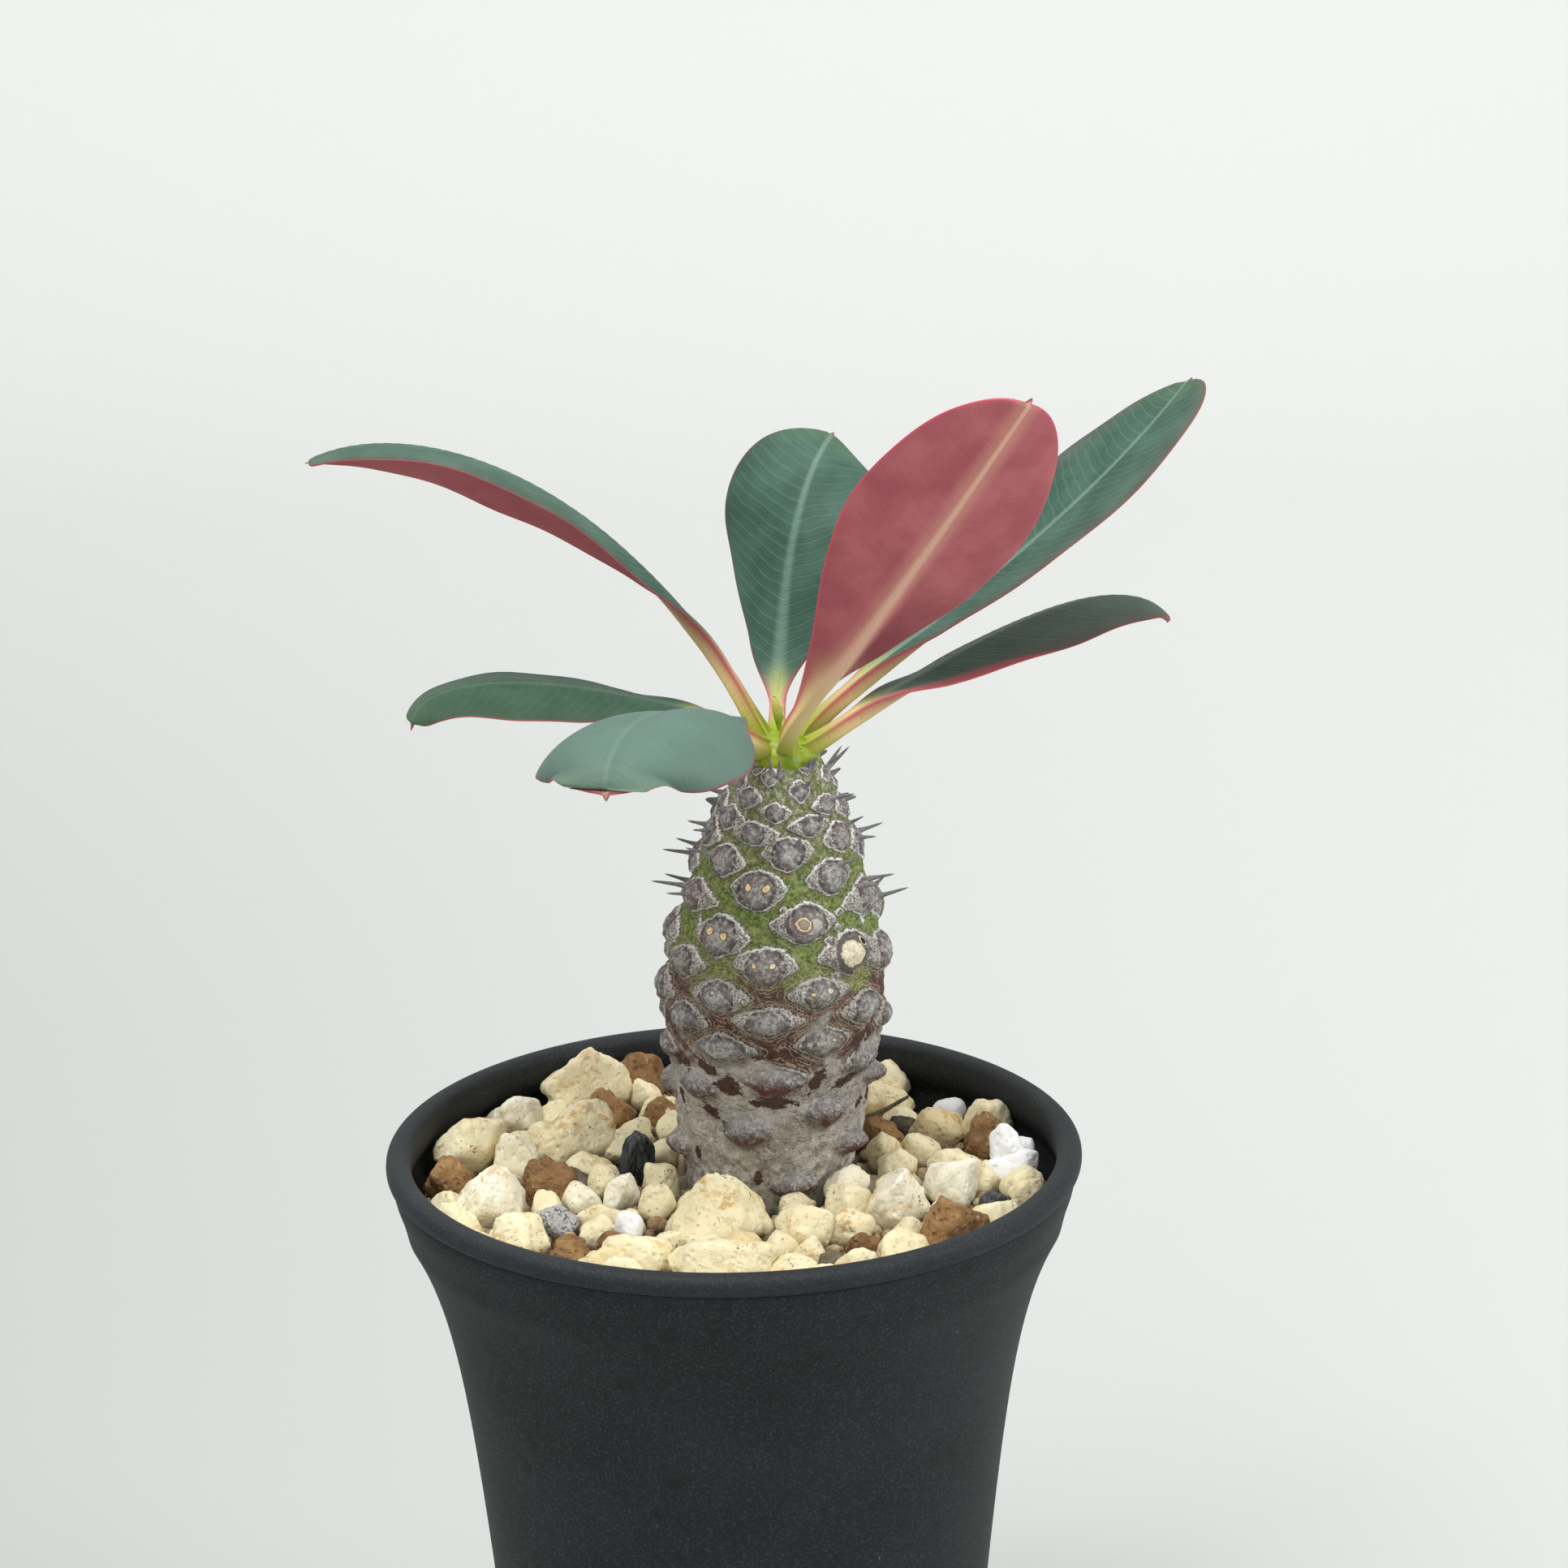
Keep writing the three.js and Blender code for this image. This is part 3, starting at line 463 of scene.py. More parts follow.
def cream_material():
    """Cream pumice: most stones are cream, some whiter, some sandy and a few brown, with ochre
    stains, fine brown specks, a few clusters of black ones, and painted shade where a stone is
    bedded."""
    r = new_material("cream pumice")
    [tone], place = r.marks("tone"), r.place()
    marks = r.group(MINERAL, {"Place": place, "Grain": 1500.0, "Speck Share": 0.16, "Tone": tone})
    rusty = r.rise(r.noise(place, 900, 3.0, 0.6), 0.45, 0.60)
    black = r.rise(r.noise(place, 300, 2.0), 0.58, 0.66)
    base = r.lay(
        r.mix(r.rise(tone, 0.86, 1.0) * 0.8, (238, 228, 190), (245, 242, 226)),
        (r.fall(tone, 0.06, 0.26), 1, (222, 204, 158)),
        (r.fall(tone, 0.04, 0.08), 1, (152, 116, 76)),
        (r.rise(marks["Cloud"], 0.50, 0.66), 0.35, (214, 196, 150)),
        (marks["Stains"] * rusty, 0.75, (204, 158, 84)),
        (marks["Specks"], 0.65, (128, 108, 76)),
        (black * r.rise(r.noise(place, 2600, 2.0), 0.60, 0.64), 0.85, (52, 50, 44)),
        # Painted shade: the stones darken low down where they sink into the grit.
        (r.fall(r.coordinate(place, 2), PAINTED_SHADE_BELOW, 0.0943), 0.85, (84, 64, 42)),
    )
    return r.finish(base, 0.92, 0.2, marks["Height"], 0.40)


def charcoal_material():
    """Charcoal: nearly black, with fine lengthwise grain and a faint sheen along it."""
    r = new_material("charcoal")
    grain = r.noise(r.stretched(r.place(), (1.0, 1.0, 0.16)), 2600, 3.0, 0.6)
    base = r.mix(r.rise(grain, 0.35, 0.72), (26, 28, 31), (92, 98, 104))
    return r.finish(base, 0.85 - grain * 0.35, 0.5, grain, 0.3)


def leaf_material():
    """Leaf: blue-green above and crimson below, with pale veins, a broad pale midrib that is
    beige-pink below, a thin red margin, and a yellow-green stalk with pink edges."""
    r = new_material("leaf")
    along, across, share, half = r.marks("along", "across", "share", "half")
    under, tone, blush, veins = r.marks("under", "tone", "blush", "veins")
    marks = r.group(LEAF_MARKS, {
        "Along": along, "Across": across, "Half Width": half, "Share": share, "Tone": tone})
    out = abs(across)
    cloud, fine = r.rise(marks["Cloud"], 0.3, 0.7), marks["Fine"]
    upper = r.lay(
        r.mix(cloud, (50, 82, 68), (70, 102, 88)),
        (r.rise(tone, 0.0, 1.0), 0.65, (108, 133, 124)),
        (r.rise(tone * -1.0, 0.0, 1.0), 0.8, (40, 74, 46)),
        (marks["Vein"] * veins, 0.34, (122, 150, 138)),
        (fine, 0.12, (42, 68, 54)),
        (r.rise(out, 0.55, 1.0) * blush, 0.40, (116, 84, 80)),
        (marks["Midrib"] * veins, 0.62, (134, 162, 148)),
        (r.rise(share, 0.90, 1.0), 0.2, (112, 130, 84)),
        (marks["Margin"], 0.6, (150, 62, 72)),
    )
    # Painted shade: where across is above 0 the underside is darkened towards its base, as the
    # shade in the blade's own hollow.
    painted_self_shadow = r.rise(across, 0.02, 0.45) * r.fall(share, 0.30, 0.62)
    lower = r.lay(
        r.mix(cloud, (170, 88, 96), (190, 108, 113)),
        (1.0 - blush, 0.7, (166, 50, 56)),
        (painted_self_shadow, 0.75, (104, 36, 42)),
        (marks["Vein"], 0.2, (186, 104, 106)),
        (fine, 0.14, (120, 44, 60)),
        (r.fall(share, 0.15, 0.55), 0.25, (132, 44, 58)),
        (r.fall(out * half, 0.5, 2.6), 0.66, (206, 142, 128)),
        (marks["Midrib"], 0.9, (222, 178, 156)),
        (marks["Margin"], 0.85, (214, 82, 102)),
    )
    foot = r.fall(share, 0.0, 0.13)
    above = r.mix(r.rise(out, 0.45, 1.0), (190, 194, 122), (214, 132, 132))
    below = r.mix(r.rise(out, 0.30, 1.0), (214, 190, 136), (212, 118, 116))
    neck = share + (out - 0.5) * 0.05
    upper = r.mix(r.rise(neck, 0.13, 0.26), r.mix(foot, above, (150, 168, 44)), upper)
    lower = r.mix(r.rise(neck, 0.12, 0.36), r.mix(foot, below, (166, 172, 66)), lower)
    height = fine * 0.5 - marks["Vein"] * 0.6
    return r.finish(r.mix(under, upper, lower), fine * 0.16 + 0.50, 0.22, height, 0.05)


def crown_material():
    """Growing tip: bright yellow-green tissue, duller low down, with a pale tip to its bud."""
    r = new_material("growing tip")
    place = r.place()
    height = r.coordinate(place, 2)
    base = r.lay(
        r.mix(r.rise(r.noise(place, 320, 3.0, 0.5), 0.3, 0.7), (116, 142, 14), (150, 166, 38)),
        (r.rise(height, 0.1535, 0.1575), 0.85, (218, 210, 122)),
        (r.fall(height, 0.1470, 0.1492), 1, (98, 126, 44)),
        (r.fall(r.cells(place, 700), 0.03, 0.08), 0.35, (90, 84, 40)),
    )
    return r.finish(base, 0.42, 0.45, r.noise(place, 1400, 3.0, 0.6), 0.06)


def thorn_material():
    """Thorns: dark grey, paler and rough towards the foot."""
    r = new_material("thorn")
    grain = r.noise(r.place(), 2600, 3.0, 0.6)
    base = r.mix(r.rise(*r.marks("share"), 0.0, 0.5), (168, 165, 160), (126, 126, 128))
    base = r.lay(base, (r.rise(grain, 0.47, 0.66), 0.6, (72, 70, 72)))
    return r.finish(base, 0.7, 0.35, grain, 0.08)


# Old scars of the cushions: kind, place across and up, size, colour of the middle and of the ring
SCARS = [
    (1, -0.22, 0.26, 0.50, (246, 226, 172), (128, 98, 64)),
    (1, 0.26, 0.20, 0.50, (246, 226, 172), (128, 98, 64)),
    (2, 0.16, -0.05, 1.3, (190, 186, 178), (128, 122, 118)),
    (2, -0.10, 0.10, 1.05, (226, 212, 184), (128, 106, 84)),
    (2, -0.10, 0.10, 0.50, (170, 156, 136), (128, 106, 80)),
    (3, -0.08, 0.0, 1.95, (234, 225, 198), (104, 94, 84)),
    (3, 0.34, 0.40, 0.42, (44, 26, 18), (234, 225, 198)),
    (4, -0.06, 0.36, 0.50, (228, 228, 222), (84, 80, 78)),
    (5, 0.22, 0.22, 0.46, (234, 225, 198), (128, 98, 64)),
    (5, -0.28, 0.16, 0.30, (246, 226, 172), (128, 98, 64)),
]


def stem_material():
    """Stem skin, from its own marks. Edge is how many millimetres a place lies inside the rim of
    its leaf cushion; ring is 1 at the border of the cushion's plate; crack is how much nearer this
    cushion is than the next; across and up are places on it; patch is over 0 where bark has
    peeled; tone is a number of the cushion's own, and scar says which old scars it has."""
    r = new_material("stem skin")
    edge, ring, crack, patch = r.marks("edge", "ring", "crack", "patch")
    across, up, tone, scar = r.marks("across", "up", "tone", "scar")
    place = r.place()
    height = r.coordinate(place, 2)
    fleck = r.noise(place, 4300, 3.0, 0.65)
    fine = r.noise(place, 2400, 4.0, 0.65)
    medium = r.noise(place, 700, 4.0, 0.6)
    broad = r.noise(place, 190, 3.0, 0.5)
    dash = r.noise(r.stretched(place, (1.0, 1.0, 2.8)), 1700, 5.0, 0.7)
    tear = r.noise(r.stretched(place, (1.0, 1.0, 1.8)), 520, 6.0, 0.7)
    grit = r.noise(place, 1500, 6.0, 0.78)
    bright, dark = r.rise(grit, 0.525, 0.575), r.fall(grit, 0.425, 0.475)
    wobble, drift = medium - 0.5, broad - 0.5

    # Young green skin above, brown where it ages, silvery bark at the foot
    young = r.rise(height + drift * 0.018, 0.1212, 0.1236)
    bark = r.fall(height + drift * 0.030, 0.1120, 0.1160)
    bare = 1.0 - bark
    top = r.rise(height, 0.1330, 0.1460)
    green = r.lay(
        r.mix(r.rise(dash, 0.40, 0.60), (76, 104, 44), (134, 152, 82)),
        (top, 0.60, (134, 139, 108)),
        (r.rise(medium, 0.50, 0.64), 0.55, (146, 130, 88)),
        (bright, 0.60, r.mix(top, (168, 178, 112), (206, 204, 184))),
        (dark, 0.60, (50, 62, 30)),
    )
    brown = r.mix(r.rise(dash, 0.38, 0.64), (70, 51, 46), (106, 82, 74))
    brown = r.lay(brown, (bright, 0.30, (156, 138, 124)))
    wrinkle = abs(r.noise(r.stretched(place, (1.0, 1.0, 4.0)), 420) - 0.5)
    wrinkle = r.fall(wrinkle, 0.0, 0.035) * r.rise(medium, 0.42, 0.56)
    soot = r.rise(r.noise(place, 170, 2.0), 0.52, 0.62) * r.rise(fleck, 0.53, 0.58)
    silver = r.lay(
        r.mix(r.rise(broad, 0.35, 0.65), (168, 162, 151), (196, 191, 182)),
        (r.rise(dash, 0.48, 0.62), 0.50, (136, 128, 122)),
        (bright, 0.40, (228, 227, 222)),
        (wrinkle, 0.55, (112, 102, 96)),
        (r.fall(height, 0.0950, 0.1060) * r.rise(medium, 0.44, 0.66), 1, (146, 137, 130)),
        (soot, 0.7, (84, 72, 70)),
    )
    peeled = r.rise(patch + (tear - 0.5) * 4.0, 0.0, 0.08)
    # Below each swollen cushion the skin is painted darker, as the shadow in its fold
    painted_fold_shadow = r.fall(abs(edge + 0.25), 0.0, 0.75) * r.fall(up, -0.9, -0.3)
    skin = r.lay(
        r.mix(bark, r.mix(young, brown, green), silver),
        (peeled, 1, r.mix(r.rise(dash, 0.35, 0.65), (66, 47, 41), (94, 71, 62))),
        (painted_fold_shadow * bark, 0.5, (92, 78, 72)),
    )

    # Cork lines where cushions meet, and old contours round them where the skin is brown
    broken = r.rise(fine, 0.36, 0.50)
    line = r.fall(abs(crack + wobble * 0.25), 0.02, 0.10) * r.rise(edge, -2.2, -1.0)
    line = line * broken * bare
    ageing = r.fall(height, 0.1235, 0.1285)
    skin = r.lay(skin, (line, 0.8, (170, 138, 102)))
    for away, thick in ((0.38, 0.15), (0.85, 0.12)):
        contour = r.fall(abs(edge + wobble * 0.9 + away), 0.4 * thick, thick) * (ageing * bare)
        skin = r.lay(skin, (contour * broken, 0.8, (190, 160, 138)))
    # Just outside each shield's rim: dark flecks painted as the shade beside the rim, with the
    # skin's own pale flecks.
    speckled_shade_fringe = r.rise(edge, -0.55, -0.12) * bare
    skin = r.lay(
        skin,
        (speckled_shade_fringe * (r.rise(fleck, 0.43, 0.50) * 0.75), 1, (58, 54, 42)),
        (speckled_shade_fringe * (r.rise(fleck, 0.53, 0.57) * 0.8), 1, (196, 192, 176)),
    )

    # Shields: a round plate with a swirl, speckled cork out to the points, a thin white rim
    disc = ring + wobble * 0.34
    swirl = r.math("SINE", disc * 22.0 + fine * 9.0 + r.math("ARCTAN2", up, across))
    plate = r.lay(
        r.mix(r.rise(disc, 0.15, 0.80), (170, 169, 165), (124, 118, 115)),
        (r.rise(swirl, 0.1, 1.0), 0.45, (88, 82, 80)),
        (r.rise(disc, 0.78, 0.95), 0.75, (74, 66, 62)),
        (r.rise(tone, 0.35, 0.9), 0.45, (120, 102, 92)),
        (bright, 0.60, (200, 198, 193)),
        (dark, 0.50, (60, 55, 54)),
    )
    cork = r.mix(r.rise(fleck, 0.42, 0.58), (104, 98, 90), (204, 202, 194))
    cork = r.lay(cork, (dark, 0.5, (78, 72, 66)))
    jagged = edge + (fine - 0.5) * 0.7
    rim = r.rise(jagged, 0.0, 0.06) * r.fall(jagged, 0.17, 0.27) * (broken * 0.45 + 0.55)
    shown = r.mix(r.rise(disc, 0.98, 1.05), plate, cork)
    shown = r.mix(rim, shown, r.mix(ageing, (242, 241, 236), (204, 196, 188)))

    # Swollen cushions of the foot: greyish purple caps in fine arcs, darker and browner below as
    # painted shade, paler above as a painted highlight, some flushed
    arcs = r.rise(r.math("SINE", ring * 30.0 + fine * 24.0), -0.6, 0.8)
    flush = r.math("MAXIMUM", r.rise(tone, 0.25, 0.4), r.fall(height, 0.1000, 0.1055))
    flush = flush * r.fall(up, -0.35, 0.35) * r.rise(r.noise(place, 520), 0.42, 0.56)
    cap_colour = r.lay(
        r.mix(arcs * 0.7, (152, 145, 143), (92, 80, 82)),
        # Painted shade: the lower part of each cap is darkened.
        (r.fall(up, -0.75, 0.15), 0.55, (92, 66, 64)),
        (bright, 0.65, (212, 208, 203)),
        (dark, 0.55, (66, 50, 52)),
        # Painted highlight: the upper part of each cap is paler.
        (r.rise(up, 0.05, 0.75), 0.45, (194, 190, 185)),
        (flush, 0.85, (104, 38, 38)),
    )
    cap = r.rise(edge + wobble * 1.6, -0.10, 0.60) * bark
    base = r.lay(skin, (r.rise(jagged, 0.0, 0.05) * bare, 1, shown), (cap, 0.95, cap_colour))

    for kind, x, y, size, middle, border in SCARS:
        dx, dy = (across - x) * 4.4, (up - y) * 2.7
        away = (r.math("SQRT", dx * dx + dy * dy) + wobble * 1.2) / size
        here = r.math("COMPARE", scar, kind, 0.4)
        worn = (*(0.66 * c for c in colour(middle)[:3]), 1.0)
        middle = r.mix(r.rise(grit, 0.44, 0.60), middle, worn)
        base = r.lay(base, (here * r.fall(away, 0.96, 1.10), 1, border),
                     (here * r.fall(away, 0.72, 0.82), 1, middle))

    relief = fine * 0.5 + medium * 0.35 + rim * 0.35 + dash * young * 0.3 + line * 0.2
    relief = relief + arcs * cap * 0.2 - (peeled * 0.4 + wrinkle * bark * 0.3)
    return r.finish(base, fine * 0.25 + 0.60, 0.25, relief, 0.26)


# Pot

def wall_radius(z):
    """Outer radius of the pot's wall: a straight taper with an exponential flare to the rim."""
    return BASE_RADIUS + WALL_SLOPE * z + FLARE * np.exp((z - FLARE_HEIGHT) / FLARE_REACH)


def turned(profile, columns):
    """A closed skin: a profile of radius and height, from axis to axis, turned about the upright
    axis."""
    profile = np.asarray(profile, float)
    radius, z = profile[1:-1].T
    out = direction(np.arange(columns) * 360 / columns)
    points = radius[:, None, None] * out[None]
    points[..., 2] = z[:, None]
    return closed_skin(points, [0, 0, profile[0, 1]], [0, 0, profile[-1, 1]])


def pot_profile():
    """The pot's outline: foot, wall flaring to a thin rolled lip, inner wall, floor. The lip is an
    oval whose cosine and sine are raised to powers below 1, which squares it a little."""
    rows = [[0, 0], [BASE_RADIUS - 1.6, 0], [BASE_RADIUS - 0.7, 0.15], [BASE_RADIUS - 0.1, 0.6]]
    rows += [[wall_radius(z), z] for z in np.linspace(1.4, 90.0, 58)]
    flare = [[90.0, wall_radius(90.0)], [92.5, 43.15], [95.0, 43.95], [97.0, 44.2]]
    rows += [[float(curve_through(flare, z)), z] for z in np.linspace(91.0, 97.0, 9)]
    rows += [[44.0, 97.15], [43.96, 97.3]]
    half_width, half_height = LIP_WIDTH / 2, 1.45
    for angle in np.radians(np.linspace(-62, 168, 26)):
        c, s = np.cos(angle), np.sin(angle)
        rows.append([
            RIM_RADIUS - half_width + half_width * np.sign(c) * abs(c) ** 0.75,
            POT_HEIGHT - half_height + half_height * np.sign(s) * abs(s) ** 0.85,
        ])
    inner = [[93.4, wall_radius(93.4) - WALL], *LIP_INSIDE]
    rows += [[float(curve_through(inner, z)), z] for z in np.linspace(98.2, 93.9, 6)]
    rows += [[wall_radius(z) - WALL, z] for z in np.linspace(93.0, FLOOR + 1.2, 40)]
    corner = wall_radius(FLOOR) - WALL
    return rows + [[corner - 0.5, FLOOR + 0.2], [corner - 1.4, FLOOR], [0, FLOOR]]


def make_pot(material):
    """The turned pot with its drain slots cut through the floor."""
    pot = make_mesh("pot_body", turned(pot_profile(), 192), material)
    signs = (-1, 1)
    corners = np.array([[x, y, z] for x in signs for y in signs for z in signs], float)
    corners *= np.array([DRAIN_LENGTH, DRAIN_WIDTH, 3 * FLOOR]) / 2
    corners += np.array([DRAIN_RADIUS, 0, FLOOR / 2])
    sides = np.array([
        [0, 1, 3, 2], [4, 6, 7, 5], [0, 4, 5, 1], [2, 3, 7, 6], [0, 2, 6, 4], [1, 5, 7, 3]])
    slots = []
    for a in (np.arange(DRAIN_SLOTS) + 0.5) * 2 * np.pi / DRAIN_SLOTS:
        turn = np.array([[np.cos(a), -np.sin(a), 0], [np.sin(a), np.cos(a), 0], [0, 0, 1]])
        slots.append((corners @ turn.T, sides))
    cutter = make_mesh("drain_cutter", joined(slots), material)
    cut = pot.modifiers.new("drain", "BOOLEAN")
    cut.operation, cut.object, cut.solver = "DIFFERENCE", cutter, "EXACT"
    bpy.context.view_layer.update()
    seen = pot.evaluated_get(bpy.context.evaluated_depsgraph_get())
    made = bpy.data.meshes.new_from_object(seen)
    pot.modifiers.clear()
    pot.data = made
    bpy.data.objects.remove(cutter)
    seat_piece(pot, "pot_plastic", "pot")


# Stem

STEM_BODY = [
    [78, 5.5], [82, 8.2], [86, 9.6], [90, 10.6], [93, 11.2], [97, 12.6], [103, 13.5], [111, 13.9],
    [119, 14.1], [125, 13.5], [130, 12.2], [136, 10.5], [141, 8.8], [145, 7.1], [147.4, 6],
    [149.6, 4.8],
]
CUSHION_HEIGHTS = [
    [-52, 149.6], [-44, 147.6], [-37, 144.9], [-26, 141.8], [-16, 136.8], [-8, 131.2], [0, 125.8],
    [8, 121.5], [18, 115.6], [26, 110.3], [34, 103], [39, 96],
]
HALF_WIDTH = [[96, 4.4], [112, 4.7], [124, 4.5], [132, 4.4], [139, 3.5], [144, 2.5], [149.6, 1.1]]
HALF_HEIGHT = [[96, 2.4], [112, 2.6], [124, 2.7], [132, 2.7], [139, 2.2], [144, 1.6], [149.6, 1.0]]
RELIEF = [[96, 1.1], [112, 1.3], [124, 1.6], [132, 1.4], [139, 1.0], [149, 0.4]]

OLD_SCARS = {-13: 1, -5: 1, -8: 2, -3: 3, 8: 4, 0: 5, 5: 5, 18: 5}  # kind of scar, by cushion

# The shields in view, by the number of their cushion: azimuth, height, half width, half height.
# They stray a little from the even winding of the others.
SHIELDS_SEEN = {
    -50: (36, 149.5, 1.0, 0.9), -47: (-16.6, 148.7, 1.3, 1.2), -42: (20.7, 147, 1.5, 1.4),
    -39: (-38.6, 146, 2.1, 1.4), -37: (50.8, 144.8, 2.4, 1.4), -34: (-5.6, 144.6, 2.1, 1.3),
    -31: (-57, 143.2, 3, 1.7), -29: (27, 142.8, 3.1, 1.4), -26: (-23.6, 142, 3.3, 1.6),
    -24: (56.5, 140.6, 3.4, 2), -21: (5.9, 139.8, 3.4, 2.2), -18: (-44.6, 138.3, 3.3, 2.2),
    -16: (38.5, 136.3, 3.9, 2.4), -13: (-14.8, 135.3, 4.2, 2.6), -11: (68.8, 132.3, 4.8, 2.5),
    -10: (-65.5, 132.9, 4.6, 2.3), -8: (16.5, 131.1, 4.4, 2.7), -5: (-35.2, 129.2, 4.3, 2.7),
    -3: (44, 126.6, 4.9, 2.9), 0: (-6.3, 126, 4.3, 2.7), 3: (-57.4, 124.9, 3.9, 2.2),
    5: (23.2, 122.2, 4.4, 2.2), 8: (-30.9, 121.6, 4.4, 2.4), 10: (53, 118.7, 4.3, 2.4),
    13: (-4, 118.8, 4.9, 2.2), 15: (79.2, 115.5, 3.4, 1.9), 16: (-52.7, 117.6, 4, 2.4),
    18: (26, 115.5, 4.2, 2.2), 21: (-28, 114.6, 4.7, 2.2), 23: (54, 111.3, 4.1, 2.1),
    24: (-75.3, 112.3, 3.8, 1.8), 26: (1.9, 110.4, 4.8, 2.4), 28: (80, 107.4, 3, 1.6),
    29: (-46.1, 108.6, 4, 2.1), 31: (32.5, 105.3, 3.8, 2.2), 34: (-14.8, 103.1, 4.1, 2.3),
    36: (58, 99.5, 3.4, 1.9), 37: (-76, 98.4, 3.6, 2), 39: (16.4, 95, 4, 2.1),
}
KNOB_RELIEF = 0.45
# Small corky knobs between the shields: azimuth, height, half width, half height
KNOBS_SEEN = [
    (40.8, 131.7, 0.75, 0.6), (38.2, 129.9, 0.7, 0.6), (60.2, 129.4, 0.5, 0.5),
    (-55.3, 130.3, 0.7, 0.8), (3, 133, 0.6, 0.35), (31.5, 128.6, 1.1, 0.55),
    (-55.7, 126.2, 0.7, 0.6), (33.4, 124.1, 0.95, 0.6), (-50.8, 125.6, 0.45, 0.4),
]

PEELED_BELOW = 117
# Peeled bark in view: azimuth, height, half length, half height, slant in degrees. Elsewhere it
# peels just under the lower cushions.
PEELED_SEEN = [
    (1, 115, 3.2, 1.3, 4), (-39, 111.7, 1.9, 0.75, -22), (-25.6, 109.4, 1.7, 1.15, -20),
    (-2, 107.4, 3.8, 0.75, -3), (24, 109.8, 2.1, 0.8, 55), (44, 109.1, 2.2, 0.8, 12),
    (-38, 105.2, 2.7, 0.6, -24), (-58, 111.4, 1.7, 1.2, -20), (47, 114, 3.0, 0.9, 30),
    (-66, 105.8, 1.4, 0.5, -60), (9, 113.5, 2.2, 0.45, -6), (-30, 117.8, 2.6, 1.0, -16),
    (-45, 115.9, 1.2, 0.9, 0), (41, 116.7, 1.2, 0.5, 10), (-4, 116.8, 2.6, 0.5, 0),
    (60, 114.3, 0.9, 0.5, 20), (63, 104.5, 1.2, 0.5, 10), (-8, 96.5, 0.6, 0.9, 0),
    (-52, 98.5, 0.5, 0.9, 0),
]

numbers = np.arange(FIRST_CUSHION, LAST_CUSHION + 1)
cushion_z = curve_through(CUSHION_HEIGHTS, numbers)
cushion_azimuth = CUSHION_START - CUSHION_TURN * numbers
cushion_width = curve_through(HALF_WIDTH, cushion_z)
cushion_height = curve_through(HALF_HEIGHT, cushion_z)
cushion_relief = curve_through(RELIEF, cushion_z)
shields = np.stack([cushion_azimuth, cushion_z, 1.06 * cushion_width, cushion_height])
for number, row in SHIELDS_SEEN.items():
    shields[:, number - FIRST_CUSHION] = row
shields = np.hstack([shields, np.transpose(KNOBS_SEEN)])
shield_relief = np.append(cushion_relief, np.full(len(KNOBS_SEEN), KNOB_RELIEF))


def stem_axis(z):
    """Where the stem's leaning axis is along X at a height."""
    return STEM_X + LEAN * np.maximum(0, z - LEAN_FROM)


def stem_marks(azimuth, z):
    """For places on the stem: the distance from the middle of each cushion, as
    (|across|^1.45 + |up|^1.25)^(1 / 1.4), which has pointed sides and is 1 at the rim. Gives the
    least, how much more the next one is, the place on the nearest cushion, and its index."""
    radius = curve_through(STEM_BODY, z)
    seen = points_of(azimuth, radius, z)
    wobble = 0.035 * waves(seen, 3.2, 5) + 0.02 * waves(seen, 1.1, 6)
    shield_azimuth, shield_z, half_width, half_height = shields
    up = (z[..., None] - shield_z) / half_height
    turn = (azimuth[..., None] - shield_azimuth + 180) % 360 - 180
    across = np.radians(turn) * radius[..., None] / half_width
    away = (np.abs(across) ** 1.45 + np.abs(up) ** 1.25) ** (1 / 1.4) + wobble[..., None]
    order = np.argsort(away, axis=-1)[..., :2]
    nearest = order[..., 0]
    least, second = np.moveaxis(np.take_along_axis(away, order, -1), -1, 0)
    pick = nearest[..., None]
    here_across = np.take_along_axis(across, pick, -1)[..., 0]
    here_up = np.take_along_axis(up, pick, -1)[..., 0]
    return least, second - least, here_across, here_up, nearest


def peeled_bark(azimuth, z, radius):
    """How far inside a patch of peeled bark a place lies: 1 in its middle, 0 at its edge."""
    low = cushion_z < PEELED_BELOW
    more = np.random.default_rng(14).uniform(-1, 1, (4, len(numbers)))
    rows = np.stack([
        cushion_azimuth + 7 * more[0], cushion_z - (1.5 + 0.2 * more[1]) * cushion_height,
        1.9 + 1.3 * more[2], 0.65 + 0.35 * more[3], 26 * more[1],
    ], axis=-1)[low]
    facing = (rows[:, 0] + 180) % 360 - 180
    deepest = np.full(azimuth.shape, -1.0)
    for turn, height, half_length, half_height, slant in [*PEELED_SEEN, *rows[np.abs(facing) > 78]]:
        along = np.radians((azimuth - turn + 180) % 360 - 180) * radius
        rise, tilt = z - height, np.radians(slant)
        far = np.hypot((along * np.cos(tilt) + rise * np.sin(tilt)) / half_length,
                       (rise * np.cos(tilt) - along * np.sin(tilt)) / half_height)
        deepest = np.maximum(deepest, 1 - far)
    return deepest


def points_of(azimuth, radius, z):
    """Places at an azimuth, a radius and a height round an upright axis."""
    points = direction(azimuth) * radius[..., None]
    points[..., 2] = z
    return points


